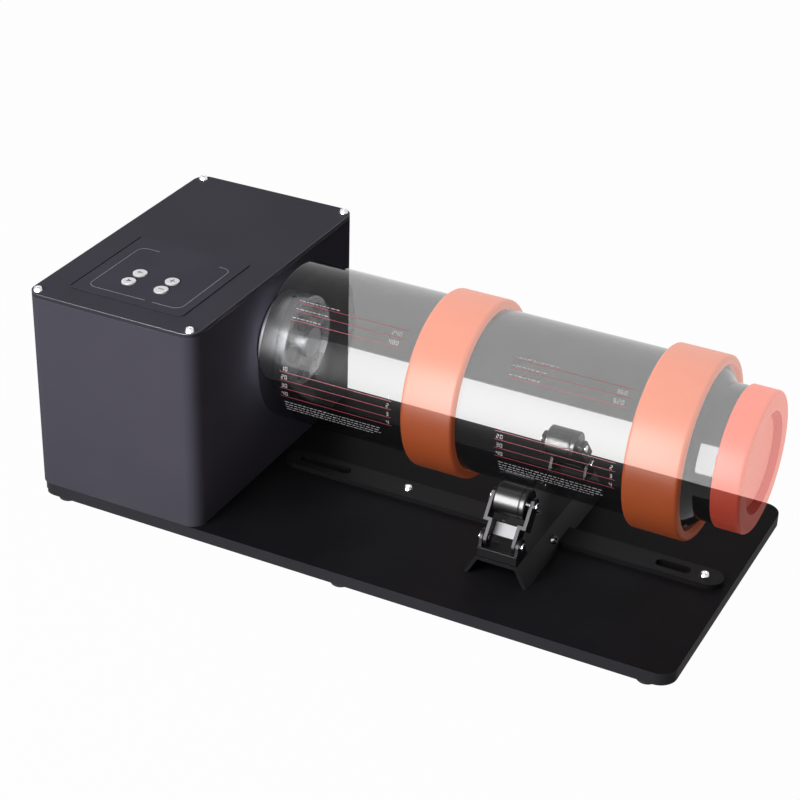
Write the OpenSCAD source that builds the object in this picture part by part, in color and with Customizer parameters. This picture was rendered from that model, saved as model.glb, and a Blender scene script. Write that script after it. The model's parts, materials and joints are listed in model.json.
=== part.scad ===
// Rotary film processor: a motor housing on a base plate turns a daylight film tank,
// which lies on two rollers carried by a carriage that slides along a slotted rail.
// Millimetres, +Z up. The origin is on the floor under the middle of the whole object,
// +X points from the motor housing to the tank's cap, and -Y is the keypad side.

/* [Base plate] */
// Length of the base plate
plate_l = 383; // [375:1:420]
// Depth of the base plate and of the housing on it
plate_d = 180; // [170:1:210]
// Thickness of the base plate
plate_t = 7.2; // [6.5:0.1:10]
// Corner radius of the base plate
plate_corner_r = 10; // [4:1:20]

/* [Feet] */
// Diameter of a rubber foot
foot_d = 12; // [8:1:16]
// Height of a rubber foot
foot_h = 3; // [2:0.5:8]
// Distance of a foot's centre from the plate's ends
foot_inset_x = 15; // [12:1:25]
// Distance of a foot from the plate's long edges
foot_edge = 1; // [0:0.5:14]

/* [Housing] */
// Width of the housing along the tank axis
box_w = 106; // [104:1:125]
// Height of the housing shell between base plate and lid
shell_h = 118; // [116:1:140]
// Wall thickness of the housing shell
wall = 3; // [2:0.5:4]
// Outer radius of the housing's upright corners
box_corner_r = 8; // [6:1:12]
// Thickness of the lid
lid_t = 2.5; // [2:0.5:4]

/* [Keypad] */
// Width of the keypad overlay
keypad_w = 73; // [66:1:78]
// Depth of the keypad overlay
keypad_d = 72; // [66:1:78]
// Thickness of the keypad overlay
keypad_t = 0.6; // [0.4:0.1:1]
// Distance of the overlay's middle in front of the tank axis
keypad_front = 38; // [38:1:44]
// Distance of the buttons' middle in front of the overlay's middle
buttons_front = 10; // [4:1:14]
// Diameter of a button
button_d = 8.2; // [6:0.2:9]
// Button pitch across the keypad
button_pitch_x = 20.8; // [16:0.2:28]
// Button pitch along the keypad
button_pitch_y = 11.3; // [11:0.1:16]
// Height of a button above the overlay
button_rise = 0.8; // [0.6:0.1:1.5]

/* [Drive] */
// Diameter of the drive shaft
shaft_d = 8; // [6:1:10]
// Diameter of the drive hub
hub_d = 52; // [46:1:64]
// Length of the drive hub
hub_l = 18; // [14:0.5:24]
// Gap between housing and drive hub
hub_gap = 1; // [0.5:0.1:2]
// Gear module
gear_m = 1; // [0.8:0.1:1.1]
// Teeth on the drive gear
gear_teeth = 36; // [30:1:36]
// Teeth on the motor pinion
pinion_teeth = 18; // [17:1:24]
// Face width of the gears
gear_w = 8; // [5:1:12]
// Diameter of the motor can
motor_d = 36; // [28:1:40]
// Length of the motor can
motor_l = 46; // [35:1:50]

/* [Tank] */
// Outer diameter of the tank bodies
tank_d = 90; // [84:1:96]
// Wall thickness of the tank bodies
tank_wall = 2.5; // [2:0.1:3.5]
// Length of the tank's skirt over the drive hub
skirt_l = 7; // [3:0.5:10]
// Length of the first tank body, up to the joint under the first ring
first_l = 104.6; // [98:0.2:120]
// Length of the second tank body between the joints under the rings
second_l = 125.6; // [120:0.2:140]
// Width of a clamp ring
ring_w = 30.6; // [26:0.2:32]
// Thickness of a clamp ring outside the tank body
ring_t = 4.75; // [3:0.25:7]
// Diameter of the pouring neck
neck_d = 74; // [60:1:76]
// Length of neck that shows between the second ring and the cap
neck_show = 13; // [10:0.5:20]
// Wall of the cap around the neck
cap_wall = 1.2; // [1:0.1:3]
// Length of the cap
cap_l = 15.6; // [14:0.2:22]
// Diameter of the dished recess in the cap's end
cap_dish_d = 54; // [36:1:56]

/* [Rollers] */
// Diameter of a roller
roller_d = 17.5; // [12:0.5:20]
// Length of a roller
roller_l = 18; // [14:0.5:24]
// Angle of a roller arm from upright
roller_angle = 38.8; // [34:0.1:44]
// Distance between arm pivot and roller axle
arm_l = 22.75; // [22:0.25:30]
// Thickness of the bent sheet of carriage, brackets and arms
sheet_t = 2; // [1.5:0.1:2.2]
// Height of the carriage saddle
saddle_h = 12; // [9:0.5:14]
// Flare of the saddle's side walls
saddle_flare = 6.5; // [3:0.5:7]
// Height of the arm pivot above the saddle
pivot_h = 9; // [8:0.5:16]
// Distance of the carriage's middle from the first ring
carriage_gap = 31.4; // [26:0.2:60]

/* [Guide rail] */
// Width of the guide rail
rail_w = 16; // [14:0.5:24]
// Thickness of the guide rail
rail_t = 3; // [2:0.5:4]
// Width of the slots in the rail
slot_w = 6.5; // [5.6:0.1:8]
// Distance of the rail from the housing
rail_start = 6; // [4:1:10]
// Distance of the rail's end from the plate's end
rail_end_gap = 4.5; // [3:0.5:10]

/* [Hidden] */
$fn = 64;

// Clearances
fit = 0.05;          // between a pin or screw and the bore it sits in
slide_gap = 0.3;     // between sliding or rolling faces of different bodies
tank_gap = 0.2;      // between the hub's face and the tank's magnet base
joint_gap = 0.2;     // between a tank body and the stepped end plugged into it
ring_gap = 0.25;     // between a tank body and a clamp ring
cap_gap = 0.15;      // between the neck and the cap
button_gap = 0.2;    // around a button in its hole
switch_gap = 0.1;    // under a fully pressed button
spin_fit = 0.06;     // between a roller and its axle
axle_fit = 0.03;     // between an axle and the arm that holds it
seal_seat = 0.02;    // between a seal and the floor of its groove
eps = 0.01;          // overrun of a cut past a face

// Fasteners
m3_r = 1.5;
m3_head_r = 2.75;
m3_head_h = 1.8;
m5_r = 2.5;
head_edge_margin = 0.75;
head_crown = 0.72;   // top of a button head against its seat
hex_share = 0.72;    // hex socket against the shank
hex_floor = 0.45;    // floor of the socket against the head's height
head_sink = 0.4;     // depth of a counterbore beyond the head in it
counterbore = m3_head_h + head_sink;
rail_screw_gap = 1;  // left under a rail screw's tip
base_screw_grip = 8;
lid_screw_grip = 9;

// Heights
plate_top = foot_h + plate_t;
rail_top = plate_top + rail_t;
shell_top = plate_top + shell_h;
lid_top = shell_top + lid_t;
saddle_top = plate_top + saddle_h;

// Tank and roller geometry across the axis
tank_r = tank_d / 2;
bore_r = tank_r - tank_wall;
roller_r = roller_d / 2;
reach = tank_r + slide_gap + roller_r + arm_l;
pivot_y = reach * sin(roller_angle);
pivot_z = saddle_top + pivot_h;
axis_z = pivot_z + reach * cos(roller_angle);
ring_in_r = tank_r + ring_gap;
ring_out_r = ring_in_r + ring_t;
neck_r = neck_d / 2;
cap_in_r = neck_r + cap_gap;
cap_r = cap_in_r + cap_wall;

// Stations along the axis, from the plate's housing end
hub_x = box_w + hub_gap;
hub_face_x = hub_x + hub_l;
tank_x = hub_face_x + tank_gap;
base_t = 7;
floor_x = tank_x + base_t;
skirt_x = tank_x - skirt_l;
joint_1_x = skirt_x + first_l;
joint_2_x = joint_1_x + second_l;
ring_1_x = joint_1_x - ring_w / 2;
ring_2_x = joint_2_x - ring_w / 2;
cap_x = ring_2_x + ring_w + neck_show;
overall_l = max(plate_l, cap_x + cap_l);
carriage_x = ring_1_x + ring_w + carriage_gap;
x_shift = -overall_l / 2;

// Housing screws sit on the corner diagonals, just inside the rounded corner
screw_inset = box_corner_r * (1 - sqrt(0.5)) + (m3_head_r + head_edge_margin) * sqrt(0.5);
port_setback = 0.3;
port_r = m3_head_r + head_edge_margin - port_setback;
foot_taper = 0.5;
housing_corners = [
    for (x = [screw_inset, box_w - screw_inset], y = [-1, 1])
        [x, y * (plate_d / 2 - screw_inset)]
];

// Keypad
keypad_x = box_w / 2;
keypad_y = -keypad_front;
buttons_y = keypad_y - buttons_front;
button_r = button_d / 2;
button_hole_r = button_r + button_gap;
button_flange = 1.1;
button_flange_r = button_r + button_flange;
button_flange_t = 1;
button_travel = 0.6;
button_stem_r = 1.75;
button_stem_l = 2.2;
keypad_corner_r = 3;
switch_h = 4;
switch_w = 6;
board_t = 1.6;
board_corner_r = 2;
board_margin_x = 3.5;
board_margin_y = 1;
switch_top = shell_top - button_flange_t - button_stem_l - button_travel - switch_gap;
board_top = switch_top - switch_h;
board_under = board_top - board_t;
board_w = keypad_w - 2 * board_margin_x;
board_d = keypad_d - 2 * board_margin_y;
standoff_r = 2.5;
standoff_inset = 4;
chip_w = 12;
chip_t = 2;
chip_front = 8;
capacitor_r = 4;
capacitor_h = 9;
capacitor_front = 14;
capacitor_gap = 4;
header_w = 16;
header_d = 5;
header_h = 6;
header_inset = 3;
header_setback = 5;
header_x = keypad_x - board_w / 2 + header_inset;
header_y = keypad_y + board_d / 2 - header_setback;
lead_r = 1.75;
lead_z = board_under - header_h / 2;
lead_bend = 6;

// Gear train between two plates behind the housing's hub wall
gear_r = gear_m * gear_teeth / 2;
pinion_r = gear_m * pinion_teeth / 2;
gear_spread = 0.12;     // extra centre distance, in modules
gear_slack = 0.16;      // play between the teeth, in modules
gear_centres = gear_r + pinion_r + gear_spread * gear_m;
gear_backlash = gear_slack * gear_m;
gear_room_rear = 8;
gear_room_front = 10;
inner_wall_x = box_w - wall;
front_plate_t = 5;
rear_plate_t = 4;
pillar_l = gear_room_rear + gear_w + gear_room_front;
front_plate_x = inner_wall_x - front_plate_t;
rear_plate_x = front_plate_x - pillar_l - rear_plate_t;
gear_x = rear_plate_x + rear_plate_t + gear_room_rear;
shaft_r = shaft_d / 2;
shaft_tail = 2;
bearing_wall = 4;
bearing_room = 1;
bearing_r = shaft_r + bearing_wall;
motor_r = motor_d / 2;
motor_boss_r = 6;
motor_boss_proud = 0.5;
motor_cap_r = 8;
motor_cap_l = 4;
motor_rear_x = rear_plate_x - motor_l - motor_cap_l;
motor_screw_inset = 5.75;
motor_screw_r = motor_r - motor_screw_inset;
motor_screw_grip = 5;
motor_screw_hole = 6;
pinion_shaft_r = 2;
pinion_seat = 10;
pinion_end_gap = 1;
pinion_proud = 1;
pinion_bond = 0.2;
gearbox_near = 4;
gearbox_far = 2;
gearbox_above = 1.5;
gearbox_y0 = -gear_r - gearbox_near;
gearbox_y1 = gear_centres + motor_r + gearbox_far;
gearbox_half_h = max(gear_r, motor_r) + gearbox_above;
gearbox_screw_pitch = 27.6;
gearbox_screw_gap = 1;
pillar_r = 3.5;
pillar_edge = 0.5;

// Power jack in the rear wall
jack_x = header_x + header_w - 2 * lead_r;
jack_height = 22;
jack_z = plate_top + jack_height;
jack_r = 5.5;
jack_flange_r = 7;
jack_flange_t = 1.2;
jack_bore_l = 9;
jack_l = 16;
jack_bore_r = 2.8;
jack_pin_r = 1.05;
jack_pin_back = 1;
jack_nut_rim = 0.6;
jack_nut_t = 2.5;

// Hub and tank magnets
hub_edge = 1;
hub_floor = 1;
set_screw_l = 6;
set_screw_gap = 0.1;
magnet_r = 4.5;
magnet_t = 3;
magnet_count = 6;
magnet_rim = 3.5;
magnet_pitch_r = hub_d / 2 - magnet_r - magnet_rim;
spigot_r = 9;
spigot_l = 3;
base_gap = 0.5;
base_chamfer = 1.6;

// Tank bodies and their joints
skirt_step = 0.3;
body_edge_r = 1.5;
tank_joint_l = 12;
joint_land = 2;
joint_ramp = 3;
seal_r = 0.82;
spigot_out_r = bore_r - joint_gap;
spigot_in_r = spigot_out_r - tank_wall;
lead_in = 0.8;
lead_in_l = 1.5;
groove_depth = 1.6;
groove_r = spigot_out_r - groove_depth;
groove_w = 2.2;
ring_edge_r = 2.2;

// Funnel, neck and cap
cone_back = 3;          // how far the cone starts inside the second ring
cone_run = 0.8;         // length of the cone against its change of radius
cone_inner_back = 1;
neck_wall = tank_wall + 1;
cap_end_t = 5.9;
cap_end_gap = 0.3;
cap_edge_r = 1.8;
cap_mouth = 0.6;
cap_dish = 3.75;
dish_edge_r = 0.8;
dish_draft = 2;
neck_end_x = cap_x + cap_l - cap_end_t - cap_end_gap;
cone_x0 = ring_2_x + ring_w - cone_back;
cone_x1 = cone_x0 + (tank_r - neck_r) * cone_run;
neck_groove_back = 4.7;
neck_groove_x = neck_end_x - neck_groove_back;
neck_groove_r = neck_r - groove_depth;

// Sheet metal of the carriage, half-widths across X
ear_room = 0.5;
ear_in = roller_l / 2 + ear_room;
ear_out = ear_in + sheet_t;
lower_arm_out = ear_in - slide_gap;
lower_arm_in = lower_arm_out - sheet_t;
roller_room = 1.4;
upper_arm_in = roller_l / 2 + roller_room;
upper_arm_out = upper_arm_in + sheet_t;
arm_half_w = 4.5;
arm_step_z = 8.4;
web_t = 1.6;
web_foot = 2.6;
web_h = 7.2;
saddle_ledge = 0.5;
saddle_top_half = ear_out + saddle_ledge;
saddle_foot_half = saddle_top_half + saddle_flare;
saddle_end = 7;
saddle_half_l = pivot_y + saddle_end;
saddle_slope = saddle_flare / saddle_h;
saddle_wall = sheet_t * sqrt(1 + saddle_slope * saddle_slope);
saddle_lean = atan(saddle_slope);
ear_setback = 1;
ear_foot_out = saddle_end - ear_setback;
ear_foot_in = 8.5;
bracket_web_h = 5.5;
pivot_pin_r = 1.5;
pivot_head_r = 2.1;
pivot_head_t = 1.2;
axle_r = 1.6;
axle_head_r = 2.1;
axle_head_t = 1.1;
roller_edge = 0.6;
roller_groove_in = 3.6;
roller_groove_w = 0.7;
roller_groove_d = 0.4;
shoe_overhang = 8;
shoe_half_l = rail_w / 2 + shoe_overhang;
shoe_screw_out = 4;
shoe_screw_l = 6.5;
shoe_screw_hole = 9;

// Rail stations
rail_mid_screw_in = 78;
rail_end_screw_in = 10.5;
slot_margin = 8;
first_slot_l = 33;
last_slot_l = 20;
rail_x0 = box_w + rail_start;
rail_x1 = plate_l - rail_end_gap;
rail_mid_screw_x = rail_x0 + rail_mid_screw_in;
rail_end_screw_x = rail_x1 - rail_end_screw_in;
last_slot_x1 = rail_end_screw_x - slot_margin;
slots = [
    [rail_x0 + slot_margin, rail_x0 + slot_margin + first_slot_l],
    [last_slot_x1 - last_slot_l, last_slot_x1]
];

// Clamp of the carriage: a grub screw in a square nut
nut_w = 8;
nut_h = 3;
grub_hex_r = 1.45;
grub_hex_l = 2.5;
nut_z = saddle_top - sheet_t - nut_h;

// Helpers

// Moves a piece to a station x along the plate
module at(x, y = 0, z = 0) translate([x + x_shift, y, z]) children();

// Cylinder along +X
module rod_x(r, l) rotate([0, 90, 0]) cylinder(r = r, h = l);

// Solid of revolution about the tank axis from points [radius, station]
module lathe_x(points) at(0, 0, axis_z) rotate([0, 90, 0]) rotate_extrude() polygon(points);

// Rounded rectangle from x = 0 to l, centred on y = 0
module rounded_rect(l, w, r) {
    translate([r, -w / 2]) square([l - 2 * r, w]);
    translate([0, -w / 2 + r]) square([l, w - 2 * r]);
    for (x = [r, l - r], y = [-1, 1])
        translate([x, y * (w / 2 - r)]) circle(r);
}

// Slot of width w from x0 to x1 with round ends
module slot_shape(x0, x1, w) {
    translate([x0 + w / 2, -w / 2]) square([x1 - x0 - w, w]);
    for (x = [x0 + w / 2, x1 - w / 2])
        translate([x, 0]) circle(w / 2);
}

// Points of a round corner about c, from angle a0 to a1
function corner(c, r, a0, a1, steps = 5) =
    [for (i = [0:steps]) c + r * [cos(a0 + (a1 - a0) * i / steps), sin(a0 + (a1 - a0) * i / steps)]];

// Button-head screw with its head's seat at z = 0 and its shank below
module button_screw(r, head_r, head_h, l) {
    difference() {
        cylinder(r1 = head_r, r2 = head_r * head_crown, h = head_h);
        translate([0, 0, head_h * hex_floor]) cylinder(r = r * hex_share, h = head_h, $fn = 6);
    }
    translate([0, 0, -l]) cylinder(r = r, h = l + eps);
}

// Both sides of the carriage: the near side as drawn, the far side mirrored
module side(far) mirror([0, far ? 1 : 0, 0]) children();

// Roller arm frame: pivot at the origin, +Z along the arm towards the tank axis
module arm_frame() at(carriage_x, -pivot_y, pivot_z) rotate([-roller_angle, 0, 0]) children();

// Base

module base_plate() color([0.11, 0.11, 0.12]) difference() {
    at(0, 0, foot_h) linear_extrude(plate_t) rounded_rect(plate_l, plate_d, plate_corner_r);
    for (x = [rail_mid_screw_x, rail_end_screw_x])
        at(x, 0, foot_h - eps) cylinder(r = m3_r + fit, h = plate_t + 2 * eps);
    for (c = housing_corners) {
        at(c[0], c[1], foot_h - eps) cylinder(r = m3_r + fit, h = plate_t + 2 * eps);
        at(c[0], c[1], foot_h - eps) cylinder(r = m3_head_r + slide_gap, h = counterbore + eps);
    }
}

module rubber_feet() color([0.05, 0.05, 0.05])
    for (x = [foot_inset_x, plate_l / 2, plate_l - foot_inset_x], y = [-1, 1])
        at(x, y * (plate_d / 2 - foot_edge - foot_d / 2), 0)
            cylinder(r1 = foot_d / 2 - foot_taper, r2 = foot_d / 2, h = foot_h);

module guide_rail() color([0.13, 0.13, 0.14]) difference() {
    at(0, 0, plate_top) linear_extrude(rail_t) slot_shape(rail_x0, rail_x1, rail_w);
    for (s = slots)
        at(0, 0, plate_top - eps) linear_extrude(rail_t + 2 * eps) slot_shape(s[0], s[1], slot_w);
    for (x = [rail_mid_screw_x, rail_end_screw_x])
        at(x, 0, plate_top - eps) cylinder(r = m3_r + fit, h = rail_t + 2 * eps);
}

module rail_screws() color([0.8, 0.8, 0.82])
    for (x = [rail_mid_screw_x, rail_end_screw_x])
        at(x, 0, rail_top) button_screw(m3_r, m3_head_r, m3_head_h, rail_t + plate_t - rail_screw_gap);

// Housing

module housing_shell() color([0.17, 0.17, 0.19]) difference() {
    at(0, 0, plate_top) linear_extrude(shell_h) difference() {
        union() {
            difference() {
                rounded_rect(box_w, plate_d, box_corner_r);
                translate([wall, 0])
                    rounded_rect(box_w - 2 * wall, plate_d - 2 * wall, box_corner_r - wall);
            }
            for (c = housing_corners) translate(c) circle(port_r);
        }
        for (c = housing_corners) translate(c) circle(m3_r + fit);
    }
    at(inner_wall_x - eps, 0, axis_z) rod_x(bearing_r + bearing_room, wall + 2 * eps);
    each_gearbox_screw(inner_wall_x - eps) rod_x(m3_r + fit, wall + 2 * eps);
    at(jack_x, plate_d / 2, jack_z) rotate([90, 0, 0]) {
        translate([0, 0, -eps]) cylinder(r = jack_r + fit, h = wall + 2 * eps);
        translate([0, 0, -eps]) cylinder(r = jack_flange_r + fit, h = jack_flange_t + eps);
    }
}

module base_screws() color([0.75, 0.75, 0.77])
    for (c = housing_corners)
        at(c[0], c[1], foot_h + counterbore) mirror([0, 0, 1])
            button_screw(m3_r, m3_head_r, m3_head_h, plate_t - counterbore + base_screw_grip);

module lid() color([0.19, 0.19, 0.21]) difference() {
    at(0, 0, shell_top) linear_extrude(lid_t) rounded_rect(box_w, plate_d, box_corner_r);
    for (c = housing_corners)
        at(c[0], c[1], shell_top - eps) cylinder(r = m3_r + fit, h = lid_t + 2 * eps);
    each_button() translate([0, 0, shell_top - eps]) cylinder(r = button_hole_r, h = lid_t + 2 * eps);
}

module lid_screws() color([0.85, 0.85, 0.87])
    for (c = housing_corners)
        at(c[0], c[1], lid_top) button_screw(m3_r, m3_head_r, m3_head_h, lid_t + lid_screw_grip);

// Keypad and control board

module button_place(column, row)
    at(keypad_x + column * button_pitch_x / 2, buttons_y + row * button_pitch_y / 2) children();

module each_button()
    for (column = [-1, 1], row = [-1, 1]) button_place(column, row) children();

module keypad_overlay() color([0.2, 0.2, 0.22]) difference() {
    at(keypad_x - keypad_w / 2, keypad_y, lid_top) linear_extrude(keypad_t)
        rounded_rect(keypad_w, keypad_d, keypad_corner_r);
    each_button() translate([0, 0, lid_top - eps]) cylinder(r = button_hole_r, h = keypad_t + 2 * eps);
}

module button(column, row) color([0.93, 0.93, 0.94]) button_place(column, row) {
    translate([0, 0, shell_top - eps])
        cylinder(r = button_r, h = lid_t + keypad_t + button_rise + eps);
    translate([0, 0, shell_top - button_flange_t])
        cylinder(r = button_flange_r, h = button_flange_t);
    translate([0, 0, shell_top - button_flange_t - button_stem_l])
        cylinder(r = button_stem_r, h = button_stem_l + eps);
}

module control_board() color([0.05, 0.3, 0.15])
    at(keypad_x - board_w / 2, keypad_y, board_top - board_t)
        linear_extrude(board_t) rounded_rect(board_w, board_d, board_corner_r);

module board_standoffs() color([0.8, 0.7, 0.4])
    for (x = [-1, 1], y = [-1, 1])
        at(
            keypad_x + x * (board_w / 2 - standoff_inset),
            keypad_y + y * (board_d / 2 - standoff_inset),
            board_top
        ) cylinder(r = standoff_r, h = shell_top - board_top);

module tact_switches() color([0.1, 0.1, 0.1])
    each_button() translate([-switch_w / 2, -switch_w / 2, board_top]) cube([switch_w, switch_w, switch_h]);

// Driver chip, two capacitors and the header for the leads, all under the board
module board_components() color([0.15, 0.15, 0.17]) {
    front_y = keypad_y - board_d / 2;
    at(keypad_x - chip_w / 2, front_y + chip_front, board_under - chip_t) cube([chip_w, chip_w, chip_t]);
    for (x = [-1, 1])
        at(keypad_x + x * (chip_w + capacitor_gap), front_y + capacitor_front, board_under - capacitor_h)
            cylinder(r = capacitor_r, h = capacitor_h);
    at(header_x, header_y - header_d, board_under - header_h) cube([header_w, header_d, header_h]);
}

// Round lead along straight runs between the given [x, y, z] stations
module lead(points) color([0.06, 0.06, 0.07])
    for (i = [0:len(points) - 2]) {
        run = points[i + 1] - points[i];
        at(points[i][0], points[i][1], points[i][2])
            rotate([0, acos(run[2] / norm(run)), atan2(run[1], run[0])]) cylinder(r = lead_r, h = norm(run));
        if (i > 0) at(points[i][0], points[i][1], points[i][2]) sphere(lead_r);
    }

// From the power jack up the rear wall and over the motor to the header
module power_lead() lead([
    [jack_x, plate_d / 2 - jack_l, jack_z],
    [jack_x, plate_d / 2 - jack_l - lead_bend, jack_z],
    [jack_x, plate_d / 2 - jack_l - lead_bend, lead_z],
    [jack_x, header_y, lead_z]
]);

// From the motor's rear cap up and across to the header
module motor_lead() lead([
    [motor_rear_x, gear_centres, axis_z],
    [motor_rear_x - lead_bend, gear_centres, axis_z],
    [motor_rear_x - lead_bend, gear_centres, lead_z],
    [header_x + 2 * lead_r, gear_centres, lead_z],
    [header_x + 2 * lead_r, header_y, lead_z]
]);

// Gear train and motor

module gearbox_plate(x, t) difference() {
    at(x, gearbox_y0, axis_z - gearbox_half_h)
        cube([t, gearbox_y1 - gearbox_y0, 2 * gearbox_half_h]);
    at(x - eps, 0, axis_z) rod_x(bearing_r + fit, t + 2 * eps);
}

// The four screws that hold the gear train to the housing's hub wall
module each_gearbox_screw(x)
    for (y = [-1, 1], z = [-1, 1])
        at(x, y * gearbox_screw_pitch / 2, axis_z + z * gearbox_screw_pitch / 2) children();

module gearbox_front_plate() color([0.7, 0.7, 0.72]) difference() {
    gearbox_plate(front_plate_x, front_plate_t);
    each_gearbox_screw(front_plate_x - eps) rod_x(m3_r + fit, front_plate_t + 2 * eps);
}

module gearbox_rear_plate() color([0.7, 0.7, 0.72]) difference() {
    gearbox_plate(rear_plate_x, rear_plate_t);
    at(rear_plate_x - eps, gear_centres, axis_z) rod_x(motor_boss_r + fit, rear_plate_t + 2 * eps);
    for (y = [-1, 1])
        at(rear_plate_x - eps, gear_centres + y * motor_screw_r, axis_z)
            rod_x(m3_r + fit, rear_plate_t + 2 * eps);
}

module gearbox_pillars() color([0.75, 0.75, 0.77])
    for (y = [gearbox_y0 + pillar_r + pillar_edge, gearbox_y1 - pillar_r - pillar_edge], z = [-1, 1])
        at(rear_plate_x + rear_plate_t, y, axis_z + z * (gearbox_half_h - pillar_r - pillar_edge))
            rod_x(pillar_r, pillar_l);

module gearbox_screws() color([0.6, 0.6, 0.62])
    each_gearbox_screw(front_plate_x + gearbox_screw_gap)
        rod_x(m3_r, front_plate_t + wall - gearbox_screw_gap);

module motor() color([0.6, 0.6, 0.63]) {
    pinion_hole_l = pinion_seat + pinion_end_gap;
    difference() {
        union() {
            at(rear_plate_x - motor_l, gear_centres, axis_z) rod_x(motor_r, motor_l);
            at(motor_rear_x, gear_centres, axis_z) rod_x(motor_cap_r, motor_cap_l + eps);
            at(rear_plate_x - eps, gear_centres, axis_z)
                rod_x(motor_boss_r, rear_plate_t + motor_boss_proud);
        }
        at(rear_plate_x - pinion_hole_l, gear_centres, axis_z)
            rod_x(pinion_shaft_r + fit, pinion_hole_l + rear_plate_t + motor_boss_proud + eps);
        for (y = [-1, 1])
            at(rear_plate_x - motor_screw_hole, gear_centres + y * motor_screw_r, axis_z)
                rod_x(m3_r + fit, motor_screw_hole + eps);
    }
}

module motor_screws() color([0.5, 0.5, 0.52])
    for (y = [-1, 1])
        at(rear_plate_x + rear_plate_t, gear_centres + y * motor_screw_r, axis_z)
            rotate([0, 90, 0]) button_screw(m3_r, m3_head_r, m3_head_h, rear_plate_t + motor_screw_grip);

// Involute gear outline: half tooth angle at radius r, in degrees
function involute(a) = tan(a) * 180 / PI - a;
function half_tooth(r, base_r, teeth, pitch_r) =
    90 / teeth - gear_backlash / pitch_r * 45 / PI + involute(20) - involute(acos(min(1, base_r / r)));
function polar(r, a) = [r * cos(a), r * sin(a)];

module gear_outline(teeth) {
    pitch_r = gear_m * teeth / 2;
    base_r = pitch_r * cos(20);
    tip_r = pitch_r + gear_m;
    root_r = pitch_r - 1.3 * gear_m;
    start_r = max(base_r, root_r);
    steps = 4;
    radii = [for (i = [0:steps]) start_r + (tip_r - start_r) * i / steps];
    halves = [for (r = radii) half_tooth(r, base_r, teeth, pitch_r)];
    pitch = 360 / teeth;
    polygon([
        for (k = [0:teeth - 1]) each concat(
            [polar(root_r, pitch * k - halves[0])],
            [for (i = [0:steps]) polar(radii[i], pitch * k - halves[i])],
            [for (i = [steps:-1:0]) polar(radii[i], pitch * k + halves[i])],
            [polar(root_r, pitch * k + halves[0])]
        )
    ]);
}

// Local x of the outline becomes +Y and local y becomes +Z, so the teeth face along X
module gear(teeth, phase, bore) rotate([90, 0, 90]) linear_extrude(gear_w) difference() {
    rotate(phase) gear_outline(teeth);
    circle(bore);
}

module drive_gear() color([0.85, 0.8, 0.65])
    at(gear_x, 0, axis_z) gear(gear_teeth, 0, shaft_r + fit);

module motor_pinion() color([0.8, 0.7, 0.35]) {
    pinion_phase = pinion_teeth % 2 == 0 ? 180 / pinion_teeth : 0;
    at(gear_x, gear_centres, axis_z) gear(pinion_teeth, pinion_phase, pinion_shaft_r - pinion_bond);
    at(rear_plate_x - pinion_seat, gear_centres, axis_z)
        rod_x(pinion_shaft_r, pinion_seat + gear_x + gear_w - rear_plate_x + pinion_proud);
}

module bearing(x, l) color([0.75, 0.76, 0.78]) difference() {
    at(x, 0, axis_z) rod_x(bearing_r, l);
    at(x - eps, 0, axis_z) rod_x(shaft_r + fit, l + 2 * eps);
}

module drive_shaft() color([0.72, 0.73, 0.75])
    at(rear_plate_x - shaft_tail, 0, axis_z)
        rod_x(shaft_r, shaft_tail + hub_face_x - hub_floor - rear_plate_x);

// Drive hub

// Places copies on the magnet circle
module each_magnet(x)
    for (k = [0:magnet_count - 1])
        at(x, 0, axis_z) rotate([360 * k / magnet_count, 0, 0])
            translate([0, magnet_pitch_r, 0]) children();

module drive_hub() color([0.78, 0.79, 0.8]) difference() {
    union() {
        lathe_x(concat(
            [[0, hub_x], [hub_d / 2 - hub_edge, hub_x], [hub_d / 2, hub_x + hub_edge]],
            [[hub_d / 2, hub_face_x - hub_edge], [hub_d / 2 - hub_edge, hub_face_x], [0, hub_face_x]]
        ));
        at(hub_face_x - eps, 0, axis_z) rod_x(spigot_r, spigot_l);
    }
    at(hub_x - eps, 0, axis_z) rod_x(shaft_r + fit, hub_l - hub_floor + 2 * eps);
    each_magnet(hub_face_x - magnet_t) rod_x(magnet_r + fit, magnet_t + eps);
    at(hub_x + hub_l / 2, 0, axis_z) cylinder(r = m3_r + fit, h = hub_d);
}

module hub_magnets() color([0.65, 0.65, 0.68])
    each_magnet(hub_face_x - magnet_t) rod_x(magnet_r, magnet_t);

module hub_set_screw() color([0.3, 0.3, 0.32])
    at(hub_x + hub_l / 2, 0, axis_z + shaft_r + set_screw_gap) cylinder(r = m3_r, h = set_screw_l);

// Power jack

module power_jack() color([0.08, 0.08, 0.09]) at(jack_x, plate_d / 2, jack_z) rotate([90, 0, 0]) {
    difference() {
        union() {
            cylinder(r = jack_flange_r, h = jack_flange_t);
            cylinder(r = jack_r, h = jack_l);
        }
        translate([0, 0, -eps]) cylinder(r = jack_bore_r, h = jack_bore_l + eps);
    }
    translate([0, 0, jack_pin_back]) cylinder(r = jack_pin_r, h = jack_bore_l);
}

module jack_nut() color([0.7, 0.7, 0.72]) at(jack_x, plate_d / 2 - wall, jack_z) rotate([90, 0, 0])
    difference() {
        cylinder(r = jack_flange_r + jack_nut_rim, h = jack_nut_t, $fn = 6);
        translate([0, 0, -eps]) cylinder(r = jack_r + fit, h = jack_nut_t + 2 * eps);
    }

// Film tank

module magnet_base() color([0.12, 0.12, 0.13]) difference() {
    rim_r = bore_r - base_gap;
    lathe_x([
        [0, tank_x], [rim_r - base_chamfer, tank_x], [rim_r, tank_x + base_chamfer],
        [rim_r, floor_x], [0, floor_x]
    ]);
    at(tank_x - eps, 0, axis_z) rod_x(spigot_r + slide_gap, spigot_l + slide_gap);
    each_magnet(tank_x) translate([-eps, 0, 0]) rod_x(magnet_r + fit, magnet_t + eps);
}

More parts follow.
